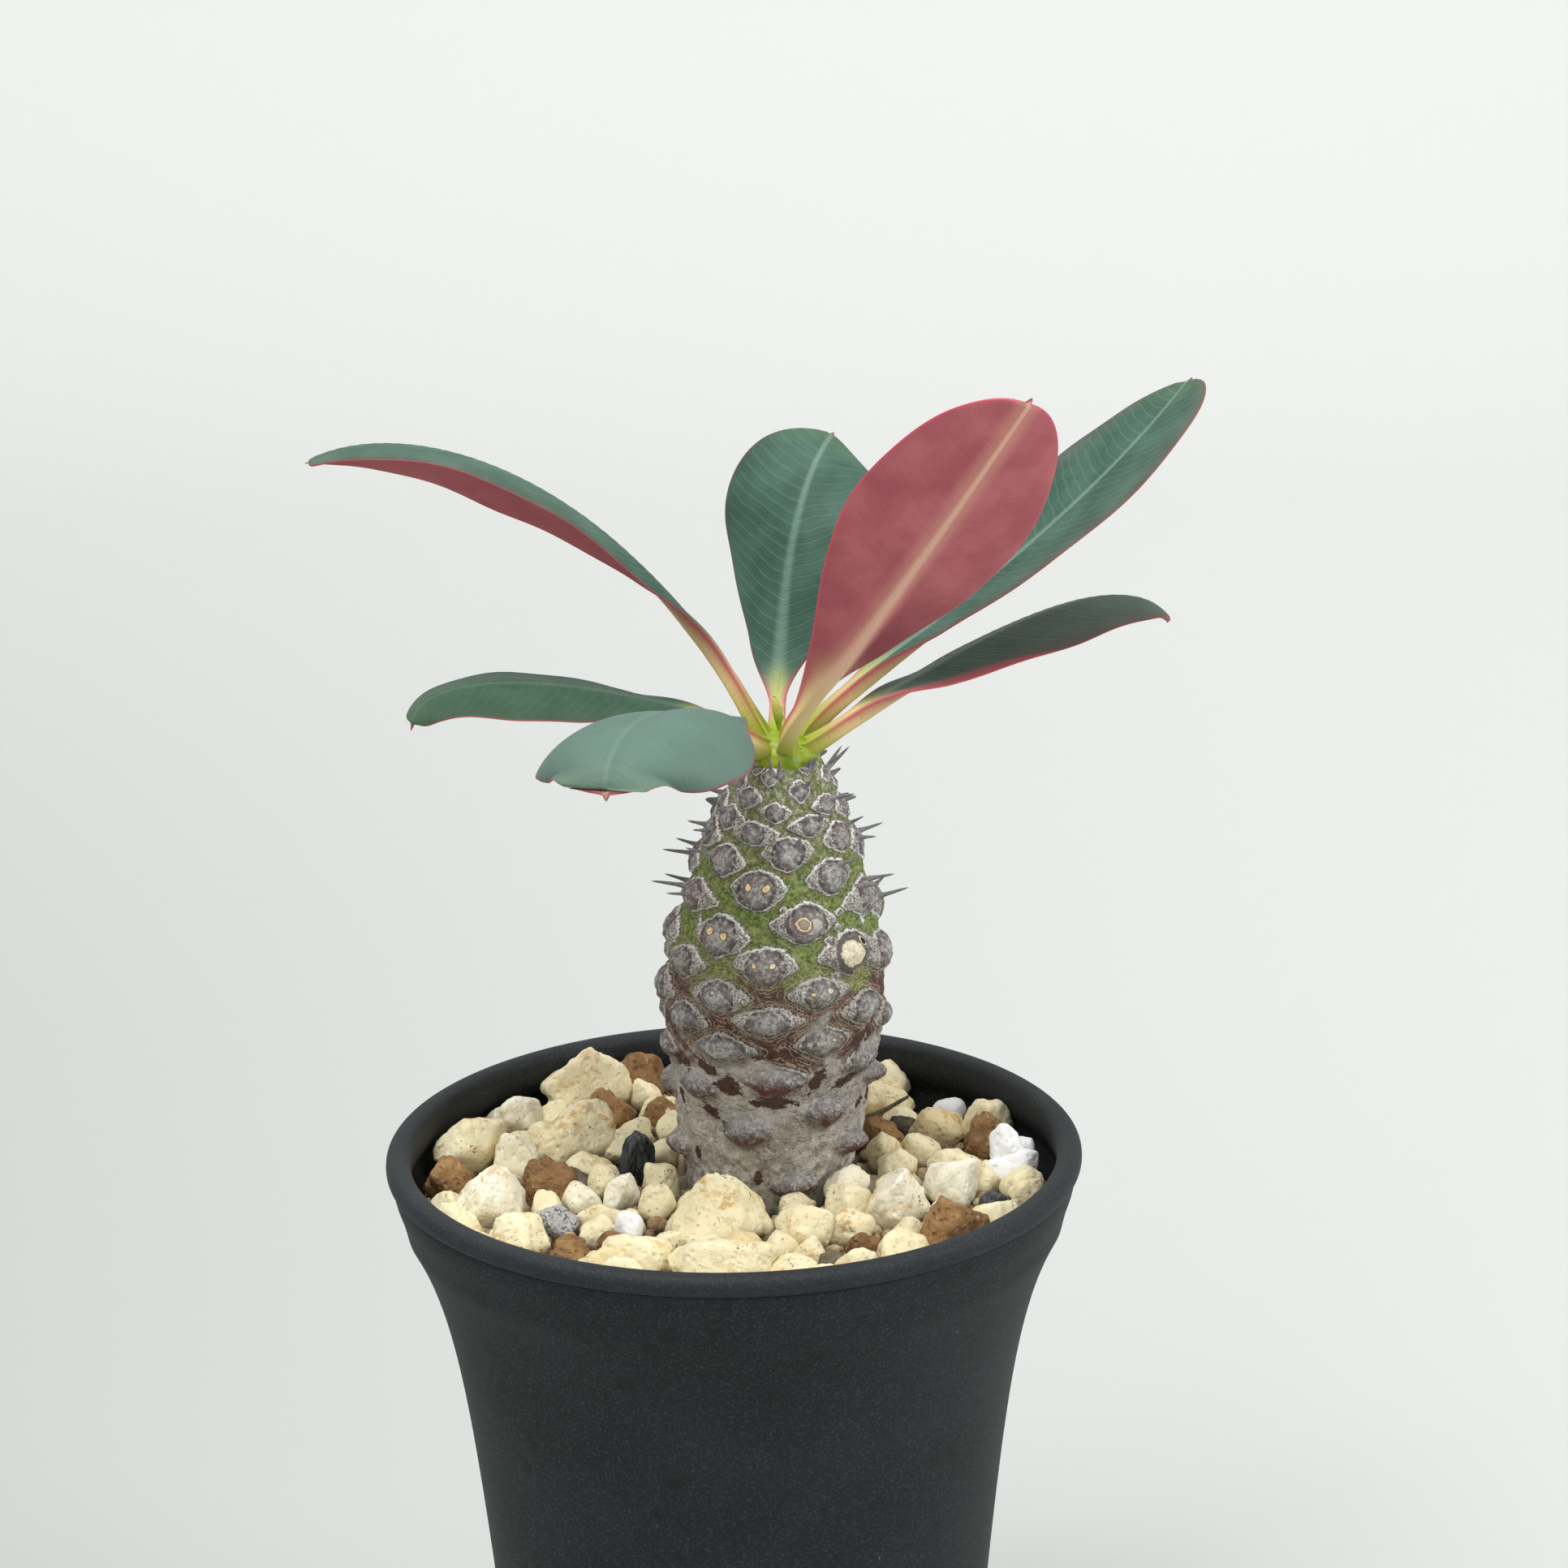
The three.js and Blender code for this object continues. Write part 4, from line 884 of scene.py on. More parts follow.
def make_stem(material):
    """The stem's skin: its leaning body raised in a cushion under each old leaf. A cushion is a
    plate with a low rim and a knob in its middle, and towards the foot a swelling (1 - d^2)^0.85
    that stands out of a narrower waist."""
    heights = np.concatenate([[78.5, 82, 86, 89.5], np.linspace(91, STEM_TOP, STEM_ROWS)])
    azimuth = np.arange(STEM_COLUMNS) * 360 / STEM_COLUMNS
    azimuth = np.broadcast_to(azimuth, (len(heights), STEM_COLUMNS))
    z = np.broadcast_to(heights[:, None], azimuth.shape)
    body = curve_through(STEM_BODY, z)
    place = points_of(azimuth, body, z)
    shield, crack, across, up, nearest = stem_marks(azimuth, z)
    # Millimetres inside the cushion's rim: how far shield is from 1, over how steeply it changes
    arc = body * 2 * np.pi / STEM_COLUMNS
    slope_round = (np.roll(shield, -1, 1) - np.roll(shield, 1, 1)) / (2 * arc)
    slope = np.hypot(slope_round, np.gradient(shield, heights, axis=0))
    edge = np.clip((1 - shield) / np.maximum(slope, 0.05), -3, 3)
    half_width, half_height = shields[2][nearest], shields[3][nearest]
    disc_half = half_height + (0.82 * half_width - half_height) * smooth(z, 124, 113)
    disc_half = np.minimum(0.92 * disc_half, 0.82 * half_width)
    ring = np.hypot(across * half_width / disc_half, up / 0.92)

    inside = np.clip(1 - shield ** 2, 0, 1)
    plate = smooth(shield, 1.02, 0.84)
    young = smooth(z, 112, 124)
    shape = inside ** 0.85 * (1 - 0.5 * young) + 0.5 * young * plate * (0.66 + 0.34 * inside)
    waist = WAIST * smooth(z, 112, 106) * smooth(z, 91, 96)
    rim = np.exp(-((edge - 0.14) / 0.13) ** 2) * young
    knob = np.exp(-((across / 0.34) ** 2 + ((up - 0.05) / 0.38) ** 2)) * young
    dip = np.exp(-((ring - 0.9) / 0.14) ** 2) * young
    seam = np.exp(-(crack / 0.08) ** 2) * smooth(shield, 0.9, 1.15)
    arcs = 0.035 * np.sin(np.hypot(across, up) * 26 + 3 * waves(place, 4, 9))
    lift = shape * (shield_relief[nearest] + waist) - waist
    lift = lift + RIM_LIFT * rim + KNOB_LIFT * knob - DISC_DIP * dip
    lift += arcs * (1 - young) * smooth(shield, 0.9, 0.6)
    rough = 0.05 * waves(place, 1.6, 21, 24) + 0.035 * waves(place, 0.8, 22, 24)
    rough += 0.10 * waves(place * [1, 1, 2.6], 5, 23, 24) * smooth(z, 112, 102)
    radius = body + smooth(z, 90, 93) * (lift - SEAM_DEPTH * seam + rough)
    points = direction(azimuth) * radius[..., None] + np.array([0, STEM_Y, 0])
    points[..., 0] += stem_axis(z)
    points[..., 2] = z
    skin = closed_skin(
        points, [STEM_X, STEM_Y, 78], [stem_axis(STEM_TOP), STEM_Y, STEM_TOP + 0.2])

    tone = np.random.default_rng(8).uniform(0, 1, len(shield_relief))[nearest]
    kinds = [OLD_SCARS.get(int(n), 0) for n in numbers] + [0] * len(KNOBS_SEEN)
    marks = {
        "edge": edge, "ring": ring, "crack": crack, "across": across, "up": up,
        "patch": peeled_bark(azimuth, z, body), "tone": tone, "scar": np.array(kinds)[nearest],
    }
    marks = {key: np.append(value.ravel(), [-1, -1]) for key, value in marks.items()}
    seat_piece(make_mesh("stem_skin", skin, material, marks), "stem_bark", "stem")


def tube(path, radius, sides):
    """A closed tube, and each point's share of its length: a ring of the given radius round each
    point of the path, at right angles to it, with its ends closed on the end points."""
    path = np.asarray(path, float)
    along = unit(np.gradient(path, axis=0))
    side = unit(np.cross(along, [0.31, 0.17, 0.93]))
    other = np.cross(along, side)
    turn = np.arange(sides) * 2 * np.pi / sides
    ring = np.cos(turn)[:, None] * side[:, None] + np.sin(turn)[:, None] * other[:, None]
    points = path[:, None] + ring * np.asarray(radius)[:, None, None]
    share = np.append(np.repeat(np.linspace(0, 1, len(path)), sides), [0, 1])
    return closed_skin(points, path[0], path[-1]), share


# Thorns in view, by the number of their cushion: side, turn away to that side, climb, length
THORNS_SEEN = {
    -52: [(-1, 5, 50, 1.5)], -50: [(-1, 0, 62, 1.3), (1, 0, 60, 1.4)],
    -49: [(-1, 5, 40, 2.4), (1, 5, 30, 2.1)], -48: [(-1, 32, 46, 4)],
    -47: [(-1, 12, 72, 2.7), (1, 6, 74, 2.5)], -45: [(-1, -4, 58, 4.2), (1, 10, 44, 4)],
    -44: [(-1, 8, 30, 2.2), (1, 0, 35, 1.6)], -42: [(-1, 0, 40, 0.8), (1, 12, 45, 1.8)],
    -40: [(1, 5, 20, 1.5)], -39: [(-1, 10, 26, 1.9)], -37: [(1, 24, 10, 2.9)],
    -36: [(-1, 5, 12, 2.2)], -34: [(-1, 10, 30, 0.8)], -32: [(1, 5, 8, 1.5)],
    -31: [(-1, 10, 20, 1)], -29: [(-1, 0, 50, 0.7), (1, 8, 45, 0.8)],
    -28: [(-1, -12, 3, 1.6), (1, 12, 24, 1.3)], -27: [(1, 0, 15, 1.5)], -24: [(1, 8, 28, 2.4)],
    -23: [(-1, 4, 10, 2.4), (1, 0, 7, 2.3)], -21: [(-1, 0, 30, 0.7), (1, 6, 60, 1.6)],
    -19: [(-1, 4, 10, 2.1), (1, 4, 12, 3.2)], -18: [(-1, 22, 18, 3.5)], -16: [(1, 18, 25, 2.6)],
    -15: [(-1, 0, 14, 2.9), (1, 6, 7, 3.8)], -14: [(1, 0, 10, 1.2)],
    -11: [(-1, -8, 12, 2.4), (1, 6, 14, 3.1)], -10: [(-1, 8, 13, 4.2), (1, -10, 5, 3.3)],
    -7: [(-1, 0, 35, 1), (1, 30, 20, 3)], -6: [(-1, 5, 16, 3.8), (1, 5, 33, 1.7)],
}


def thorn_rows():
    """Each thorn as cushion index, side, turn, climb and length: those in view, and drawn ones
    on the far side of the stem."""
    draw = random_draw(11)
    rows = []
    for i, number in enumerate(numbers):
        facing = (cushion_azimuth[i] + 180) % 360 - 180
        for side in (-1, 1):
            whole = draw()
            drawn = (side, 16 * draw(), 8 + 30 * draw(), 1 + 2.4 * draw())
            hidden = abs(facing) > THORNS_IN_VIEW and cushion_z[i] > THORN_LOWEST
            if hidden and whole > THORN_MISSING:
                rows.append((i, *drawn))
        rows += [(i, *row) for row in THORNS_SEEN.get(int(number), [])]
    return rows


def make_thorns(material):
    """Thorns on the upper shoulders of the cushions: tapering, a little bent, on a swollen foot.
    Short ones are worn blunt."""
    extra = np.random.default_rng(12)
    t = np.linspace(0, 1, 9)
    skins, shares = [], []
    for i, side, spread, climb, length in thorn_rows():
        place = cushion_z[i] + 0.2 * cushion_height[i]
        radius = curve_through(STEM_BODY, place)
        azimuth = cushion_azimuth[i] + side * np.degrees(0.34 * cushion_width[i] / radius)
        foot = direction(azimuth) * radius + np.array([stem_axis(place), STEM_Y, place])
        full = length + THORN_SINK * cushion_relief[i]
        heading = direction(azimuth + side * spread, climb)
        bend = extra.uniform(-1, 1, 2)
        bent = direction(azimuth + side * spread + 14 * bend[0], climb + 16 * bend[1])
        path = foot + full * (t[:, None] * heading + 0.16 * (t ** 2)[:, None] * (bent - heading))
        blunt = 0.12 if length < 1.7 else 0.05
        width = (0.13 + 0.022 * length) * (1 - t ** 2) ** 0.8
        width += blunt * smooth(1 - t, 0, 0.1) + 0.02
        width += 0.14 * np.exp(-((t * full - 0.7 * cushion_relief[i]) / 0.7) ** 2)
        skin, share = tube(path, width, 9)
        skins.append(skin)
        shares.append(share)
    piece = make_mesh("thorns", joined(skins), material, {"share": np.concatenate(shares)})
    seat_piece(piece, "stem_bark", "stem")


# Leaves

LEAF_THICK = 0.7
STALK_SHARE = 0.085
STALK_END = 0.12
WIDEST_AT = 0.68
BEAK = 0.9  # length of the point past the blade
BEAK_WIDTH = 1.15
STALK_FOOT = 0.75  # how much the stalk spreads at its foot
STALK_CUP = 35  # degrees by which each half of the stalk rises
GROOVE = 0.16
QUILT = 0.022
MARGIN_WAVE = 0.12
TURNED_OVER = 0.66  # how much of the underside's colour a turned-over margin shows
TIP_X = STEM_X + LEAN * (STEM_TOP - LEAN_FROM)
# Share of the half width, from the midrib, beyond which a turned-over margin shows the underside,
# by share of the length
STRIP_FROM = [
    [0, 0.60], [0.2, 0.70], [0.45, 0.84], [0.64, 1.06], [0.92, 1.06], [0.97, 0.8], [1, 0.6],
]
# Radius of the growing tip, and height over the top of the stem
CROWN = [
    [4.0, -1.2], [4.5, -0.5], [4.6, 0.1], [4.4, 0.8], [4.0, 1.5], [3.5, 2.1], [2.9, 2.6],
    [2.2, 3.0], [1.4, 3.3], [0.6, 3.45],
]

# seat: azimuth, radius and height on the growing tip; end: where the leaf's tip is; leaves and
# arrives: its heading there; reach: how strongly each heading is kept; roll: turn about its own
# length at the start, middle and end; fold and curl: how its halves rise; width: of the blade.
# tone: how grey, or below 0 how deep a green, its upper side is, and on the lower right leaf
# also painted light that makes it paler; blush: how red-edged above and how pale below; veins:
# how clear they are; relax: how far it flattens towards its end; strip: the side on which its
# margin is turned over.
LEAVES = {
    "leaf_upper_left": dict(
        seat=(-118, 2.4, 151.8), end=(-52.7, 20.8, 186.6), leaves=(-101.5, 64),
        arrives=(-100.7, -26.5), reach=(37.6, 15.9), roll=(1.7, 45.4, 12.8),
        fold=-13.5, curl=-5.8, width=25.1, tone=0.1, blush=0.3, veins=0.5),
    "leaf_lower_left": dict(
        seat=(-88, 3.3, 150.9), end=(-39.4, -2, 158.1), leaves=(-86.9, 80.5),
        arrives=(-52.4, -70.4), reach=(5.4, 10.9), roll=(7.7, -7, 8.6),
        fold=-6.2, curl=-3.3, width=24.7, tone=-0.6, blush=0.2, veins=0.25),
    "leaf_front": dict(
        seat=(-48, 3, 151), end=(-14.2, -33.5, 158.4), leaves=(-34.1, 34.7),
        arrives=(169.4, -67.1), reach=(35.2, 5), roll=(40, 4.6, -0.9),
        fold=11.2, curl=-75.8, width=29.8, tone=0.9, blush=0.1, veins=0.3, relax=0.95),
    "leaf_back": dict(
        seat=(-162, 2.4, 151.6), end=(14.2, 34.5, 185.3), leaves=(177.5, 17.9),
        arrives=(158, 13.7), reach=(14.3, 18.6), roll=(2.8, -31, 29.1),
        fold=-6.4, curl=-12.2, width=24.4, tone=0.1, blush=0.1, veins=0.7),
    "leaf_near_right": dict(
        seat=(17, 2.6, 151.2), end=(37.5, -15.8, 201.5), leaves=(-17.6, 56.7),
        arrives=(66, 56.3), reach=(7, 45.7), roll=(-13.6, -56.3, -41.8),
        fold=4.3, curl=9.2, width=25, tone=0.3, blush=1.0),
    "leaf_upper_right": dict(
        seat=(134, 3, 151.4), end=(60.1, 25.9, 193.8), leaves=(119.6, 49.9),
        arrives=(139.9, 30.3), reach=(8.6, 35.5), roll=(13.1, 6, -21.4),
        fold=4, curl=2, width=25.1, tone=-0.05, blush=0.6, veins=0.85),
    # Painted light: this leaf's high tone paints its upper side paler, in place of the light that
    # its turned-away upper side misses.
    "leaf_lower_right": dict(
        seat=(79, 3.1, 151.1), end=(57.2, 25.2, 162.6), leaves=(88.4, 33.9),
        arrives=(98.9, -55.5), reach=(13.4, 12.8), roll=(1, -15.3, -11.9),
        fold=-10.9, curl=-5.8, width=25, tone=0.4, blush=0.8, veins=1.0, strip=-1),
}
BUD = dict(
    seat=(-165, 0.8, 151.8), end=(6.1, 8.6, 157.6), leaves=(-165, 80), arrives=(-100, 86),
    reach=(2, 2), roll=(0, 0, 0), fold=40, curl=10, width=1.9, tone=0.0, blush=0.0)


def leaf_outline(s):
    """Share of the full width at share s of the length: a narrow stalk, then a blade that is
    widest past its middle and blunt at its end."""
    t = np.clip((s - STALK_END) / (1 - STALK_END), 0, 1)
    swell = np.maximum(np.sin(np.pi * t ** 1.53), 0)
    blade = swell ** np.where(s < WIDEST_AT, 0.9, 0.42)
    return STALK_SHARE * (1 - np.clip(s, 0, 1) ** 8) + (1 - STALK_SHARE) * blade


def leaf_midline(leaf, share, beak):
    """Points, headings and distances at shares of the length along a leaf's cubic bend, which goes
    straight on past its end by the length of the beak, and the bend's own length."""
    azimuth, radius, height = leaf["seat"]
    start = direction(azimuth) * radius + np.array([TIP_X, STEM_Y, height])
    end = np.array(leaf["end"], float)
    first = start + direction(*leaf["leaves"]) * leaf["reach"][0]
    second = end - direction(*leaf["arrives"]) * leaf["reach"][1]
    t = np.linspace(0, 1, 1200)[:, None]
    back = 1 - t
    line = start * back ** 3 + 3 * first * t * back ** 2 + 3 * second * t ** 2 * back + end * t ** 3
    rate = (first - start) * back ** 2 + 2 * (second - first) * t * back + (end - second) * t ** 2
    gone = np.append(0, np.cumsum(np.linalg.norm(np.diff(line, axis=0), axis=1)))
    length = gone[-1]
    distances = share * (length + beak)
    points, heading = (np.stack([np.interp(distances, gone, rows[:, k]) for k in range(3)], axis=-1)
                       for rows in (line, 3 * rate))
    heading = unit(heading)
    points += heading * np.maximum(distances - length, 0)[:, None]
    return points, heading, distances, length


def make_leaf(name, leaf, material, rows=190, columns=44, seed=0):
    """A leaf as one closed skin. Each cross-section is a thin blade with a rounded margin, folded
    along its midrib, which stands out below and is a shallow groove above. Its margin waves a
    little, and its upper side is quilted between the side veins."""
    scale = min(1, leaf["width"] / 12)
    beak = BEAK * scale
    share = np.linspace(0, 1, rows)
    share = share + 0.06 * np.sin(np.pi * share) * share  # closer together towards the end
    share = np.clip(share / share[-1], 0, 1)
    middle, along, gone, length = leaf_midline(leaf, share, beak)
    s = np.minimum(gone / length, 1)
    blade = leaf["width"] / 2 * leaf_outline(s)
    blade += STALK_FOOT * scale * np.exp(-gone / 2.5)
    tip = BEAK_WIDTH * scale * np.clip((length + beak - gone) / (beak + 1.6), 0, 1) ** 0.8
    half_width = np.maximum(np.where(gone < length, np.maximum(blade, tip), tip), 0.02)

    r0, r1, r2 = leaf["roll"]
    roll = np.radians(r0 * (1 - s) ** 2 + 2 * r1 * s * (1 - s) + r2 * s * s)[:, None]
    side = unit(np.stack([-along[:, 1], along[:, 0], np.zeros(rows)], axis=-1))
    up = np.cross(along, side)
    across = side * np.cos(roll) + up * np.sin(roll)
    normal = up * np.cos(roll) - side * np.sin(roll)

    # v runs from the right margin over the top to the left one and back below
    v_top = np.cos(np.linspace(0, np.pi, columns + 1))
    v_top = np.sign(v_top) * np.abs(v_top) ** 0.9
    v = np.concatenate([v_top, -v_top[1:-1]])
    face = np.concatenate([np.ones(columns + 1), -np.ones(columns - 1)])
    face[[0, columns]] = 0
    under = np.broadcast_to((1 - face) / 2, (rows, len(v)))
    if "strip" in leaf:
        start = curve_through(STRIP_FROM, s)[:, None]
        turned_over = smooth(leaf["strip"] * v, start - 0.04, start + 0.03)
        under = np.maximum(under, TURNED_OVER * turned_over)

    # From here on rows run down the leaf and columns round it
    s, gone, half_width = s[:, None], gone[:, None], half_width[:, None]
    open_share, blade_open = smooth(s, 0.1, 0.35), smooth(s, 0.22, 0.4)
    size, sign = np.abs(v)[None, :], np.sign(v)[None, :]
    x = size * half_width
    curl = leaf["curl"] * (1 - leaf.get("relax", 0) * smooth(s, 0.93, 1.0))
    angle = STALK_CUP * (1 - open_share) + leaf["fold"] * open_share + curl * open_share * size / 2
    angle = np.radians(angle)
    rib_half = np.minimum(0.5 + 1.1 * (1 - s), 0.45 * half_width)
    rib = np.clip(1 - (x / (1.6 * rib_half)) ** 2, 0, 1) ** 1.2
    rib = (0.1 + 1.2 * (1 - s) ** 1.3 * scale) * rib
    thick = LEAF_THICK * (1 - 0.35 * size ** 2) * np.sqrt(np.clip(1 - size ** 10, 0, 1))
    thick = thick * np.clip(half_width / 1.2, 0.25, 1)
    groove = GROOVE * np.exp(-(x / (0.5 + 0.5 * (1 - s))) ** 2) * blade_open
    phase = (gone - (VEIN_LEAN * x + VEIN_CURVE * x * size)) / VEIN_SPACING
    quilt = QUILT * np.cos(2 * np.pi * phase) * blade_open * (1 - size ** 4)
    above, below = thick / 2 - groove + quilt, -thick / 2 - rib
    lift = np.where(face > 0, above, np.where(face < 0, below, 0))
    sway = np.sin(2 * np.pi * (s * 4.3 + seed * 0.37) + sign * 0.9)
    sway = MARGIN_WAVE * sway * size ** 3 * blade_open * (1 - smooth(s, 0.9, 1.0))
    out = sign * (x * np.cos(angle) - lift * np.sin(angle))
    rise = x * np.sin(angle) + lift * np.cos(angle) + sway
    points = middle[:, None] + across[:, None] * out[..., None] + normal[:, None] * rise[..., None]

    marks = {
        "along": gone, "across": v, "share": s, "half": half_width, "under": under,
        "tone": leaf["tone"], "blush": leaf["blush"], "veins": leaf.get("veins", 0.8),
    }
    marks = {key: np.broadcast_to(value, points.shape[:2]) for key, value in marks.items()}
    marks = {key: np.concatenate([value.ravel(), value[0, :1], value[-1, :1]])
             for key, value in marks.items()}
    return make_mesh(name, closed_skin(points, middle[0], middle[-1]), material, marks)


def make_crown(material):
    """The growing tip: a low dome whose flank swells where each leaf stalk leaves it, as
    radius x (0.94 + 0.15 exp(-(turn / 19 degrees)^2)), summed over the stalks."""
    rows = np.linspace(0, len(CROWN) - 1, 34)
    radius, z = (curve_through(np.stack([np.arange(len(CROWN)), column], 1), rows)
                 for column in np.transpose(CROWN))
    z = z + STEM_TOP
    azimuth = np.arange(120) * 360 / 120
    out = direction(azimuth)[None]
    stalks = [leaf["seat"][0] for leaf in LEAVES.values()]
    lobes = sum(np.exp(-(((azimuth - a + 180) % 360 - 180) / 19) ** 2) for a in stalks)
    points = out * (radius[:, None] * (0.94 + 0.15 * lobes[None]))[..., None]
    points[..., :2] += [TIP_X, STEM_Y]
    points[..., 2] = z[:, None]
    points += 0.05 * waves(points, 1.2, 31)[..., None] * out
    skin = closed_skin(points, [TIP_X, STEM_Y, z[0]], [TIP_X, STEM_Y, z[-1] + 0.05])
    seat_piece(make_mesh("crown", skin, material), "tip_green", "growing_tip")


# Stones

GOLDEN_ANGLE = np.pi * (3 - np.sqrt(5))
STONE_SIDES = 12
TAPERED = {100: 0.46, 104: 0.34, 109: 0.3, 108: 0.2, 120: 0.22}  # by seed
# The seeds from which the stones of each kind count on
CREAM_SEED = 100
ODD_SEED = 300
ODD_SEED_STEP = 20
SCATTER_SEED = 500
GRAIN_SEED = 900
# How often a place is tried, how far out, and how far from the stem's axis
SCATTER_TRIES = 2600
SCATTER_REACH = 40
SCATTER_EDGE = 41.4
SCATTER_STEM_ROOM = 11.6
GRAIN_TRIES = 1500
GRAIN_REACH = 40.5
GRAIN_STEM_ROOM = 12.6
STONE_WALL_CLEAR = 0.15
BED_WALL_CLEAR = 0.12
BED_LOWERED = 0.6  # the grit under the loose stones

CREAM_STONES = [
    [-2, -12.5, 94.6, 13, 8, 11, 10, 0], [-1.5, -27, 94.2, 14, 9, 7, 5, 0],
    [-11.5, -24, 94, 9, 6, 6, -10, 8], [-17, -26.5, 93.6, 7, 5.5, 5.5, 20, 0],
    [-31, -5.5, 94.6, 9, 8, 10.5, 40, 12], [-27.3, -18.5, 94.2, 7, 7, 8, 60, 10],
    [-34.5, 13, 94.6, 9.5, 7, 8, 30, 0], [-28.6, 10, 94, 7, 6, 6.5, 0, 0],
    [-20.5, 16, 95, 12, 7, 9, 35, 15], [-20, 33, 96, 13, 7.5, 11, 25, 10],
    [-29.5, 25, 94, 7, 6, 6.5, 10, 0], [-23, 26.5, 93.2, 6, 5, 5, 0, 0],
    [-36.8, -4.8, 93, 6, 5, 5.5, 70, 0], [-19.3, 7.4, 94, 7, 5, 5, 15, 0],
    [-14.5, 15.4, 93.8, 6.5, 5, 5, 0, 0], [-10.2, -5.6, 93.8, 5, 4.6, 6.5, 80, 10],
    [-14.8, -2, 93.6, 5, 4, 6.5, 60, 20], [-9.6, 2.4, 93.6, 5, 4.4, 6, 0, 0],
    [-17.5, -13.4, 93.4, 5, 4.4, 4, 0, 0], [-17.6, -7.8, 93.4, 6.5, 3.2, 3.4, 20, 0],
    [21, -7.4, 94.6, 10.5, 6.6, 8, 62, 15], [28, -1.6, 94.4, 7, 6.6, 7.2, 30, 0],
    [28.6, 6.4, 94.3, 7.4, 5, 5.4, -20, 0], [24.6, 11.8, 93.8, 5.5, 5, 5, 0, 0],
    [21.4, 6.2, 93.6, 5, 4.6, 5, 0, 0], [19.8, 11.2, 93.8, 5, 4.6, 6, 0, 0],
    [14.6, -8.4, 94.4, 7, 6, 7, 50, 10], [8.8, -16.6, 94.2, 6.6, 6.2, 7.4, 10, 0],
    [14.4, -14.4, 93.8, 5.4, 5, 5.6, 0, 0], [21, -22, 94, 7, 6, 5.6, 20, 0],
    [32.8, -12, 94, 9, 5.4, 5.4, 35, 0], [37.6, -4.8, 93.4, 6, 5, 5.4, 60, 0],
    [7.4, -28, 93.8, 7.4, 5.4, 5, 0, 0], [15.4, -26.4, 93.6, 5.4, 4.8, 5, 30, 0],
    [26.8, 19.4, 94, 8, 5.4, 5.4, 10, 0], [33.8, 20, 94.2, 7, 5.6, 7, 30, 0],
    [19.6, 28.6, 94.2, 8, 6, 6, 0, 0], [20.6, 35, 94.8, 7.4, 6, 7, 0, 0],
]
ODD_STONES = {
    "clay_grain": [
        [-37.4, 4.2, 93.8, 6, 5.4, 5.6, 0, 0], [-24.4, 1.6, 94, 8, 6, 6, 15, 0],
        [-17, 26.2, 94, 6.6, 5.8, 6, 0, 0], [33.4, 13.4, 94.2, 6.4, 5.6, 7, 0, 0],
        [18.6, 18.2, 94, 7, 4.4, 5, -20, 0], [27.6, -16.8, 94.4, 8, 6.4, 7, 25, 0],
        [16.4, -20.4, 93.6, 5, 4, 4.4, 0, 0], [-20.8, -20.4, 93.6, 5, 4.2, 4.4, 0, 0],
    ],
    "charcoal_chip": [
        [-12.6, 8.4, 95, 4.4, 3.6, 8.4, 20, 18], [-22.2, -24.6, 93.8, 6, 3.2, 3.6, -25, 0],
        [33.6, -6.8, 93.8, 4.2, 3.6, 4.4, 30, 0],
    ],
    "white_grain": [
        [36.2, 6.4, 95.4, 7, 5, 9.5, 60, 10], [28.6, 26, 94.6, 5, 5, 5, 0, 0],
        [-13.6, -13.6, 94, 3.8, 3.4, 5.4, 0, 0],
    ],
    "grey_stone": [[-23, -10.6, 94, 5.8, 5.2, 5.2, 20, 0]],
}
# The lobes of the first white grain, then chips of other stone that lie among the large stones, in
# the form that to_stone gives, and a twig's path
WHITE_LOBES = [
    [35.4, 6.4, 96.3, 4.6, 4.6, 6.2, 30, 0, 340, 0.3],
    [36.6, 5.0, 93.9, 5.2, 5.0, 5.2, 0, 0, 341, 0.01],
    [34.6, 4.2, 93.4, 4.4, 4.2, 4.4, 0, 0, 342, 0.01],
    [37.6, 7.4, 94.6, 3.8, 4.4, 5.0, 20, 0, 343, 0.01],
]
BROWN_CHIPS = [
    [-13.6, 37.0, 94.6, 8, 6, 8.4, 20, 0, 361, 0.3],
    [-10.0, 27.6, 93.4, 6, 4.6, 4.6, 10, 0, 362, 0.1],
    [-15.5, -16.6, 93.2, 3.4, 3, 3.4, 0, 0, 363, 0.1],
    [-21.2, -17.2, 93.2, 4.2, 3, 2.8, 0, 0, 364, 0.1],
]
SLATE_CHIPS = [
    [-20.9, 2.4, 93.2, 4.6, 3.4, 4.6, 30, 0, 371, 0.2],
    [18.4, -0.6, 93.6, 7, 4.2, 3.6, 12, 10, 372, 0.1],
    [12.2, -24.2, 93.2, 4, 3.2, 3.4, 0, 0, 373, 0.2],
    [22.6, 21.9, 93.0, 6.4, 4.2, 3, -35, 0, 374, 0.1],
]
TWIG = [
    [16.4, 21.2, 94.6], [18.4, 21.8, 95.0], [20.4, 22.4, 95.7], [22.0, 23.0, 96.4],
    [23.2, 23.6, 96.9],
]


def to_stone(row, seed):
    """A row of x, y, z, length, width, height, turn and tilt, with z held down to its bed, then
    the stone's seed and its taper, where 0 leaves the taper to chance."""
    x, y, z, length, width, height, turn, tilt = row
    z = min(z, SOIL_TOP + STONE_SEAT * height)
    return [x, y, z, length, width, height, turn, tilt, seed, TAPERED.get(seed, 0)]


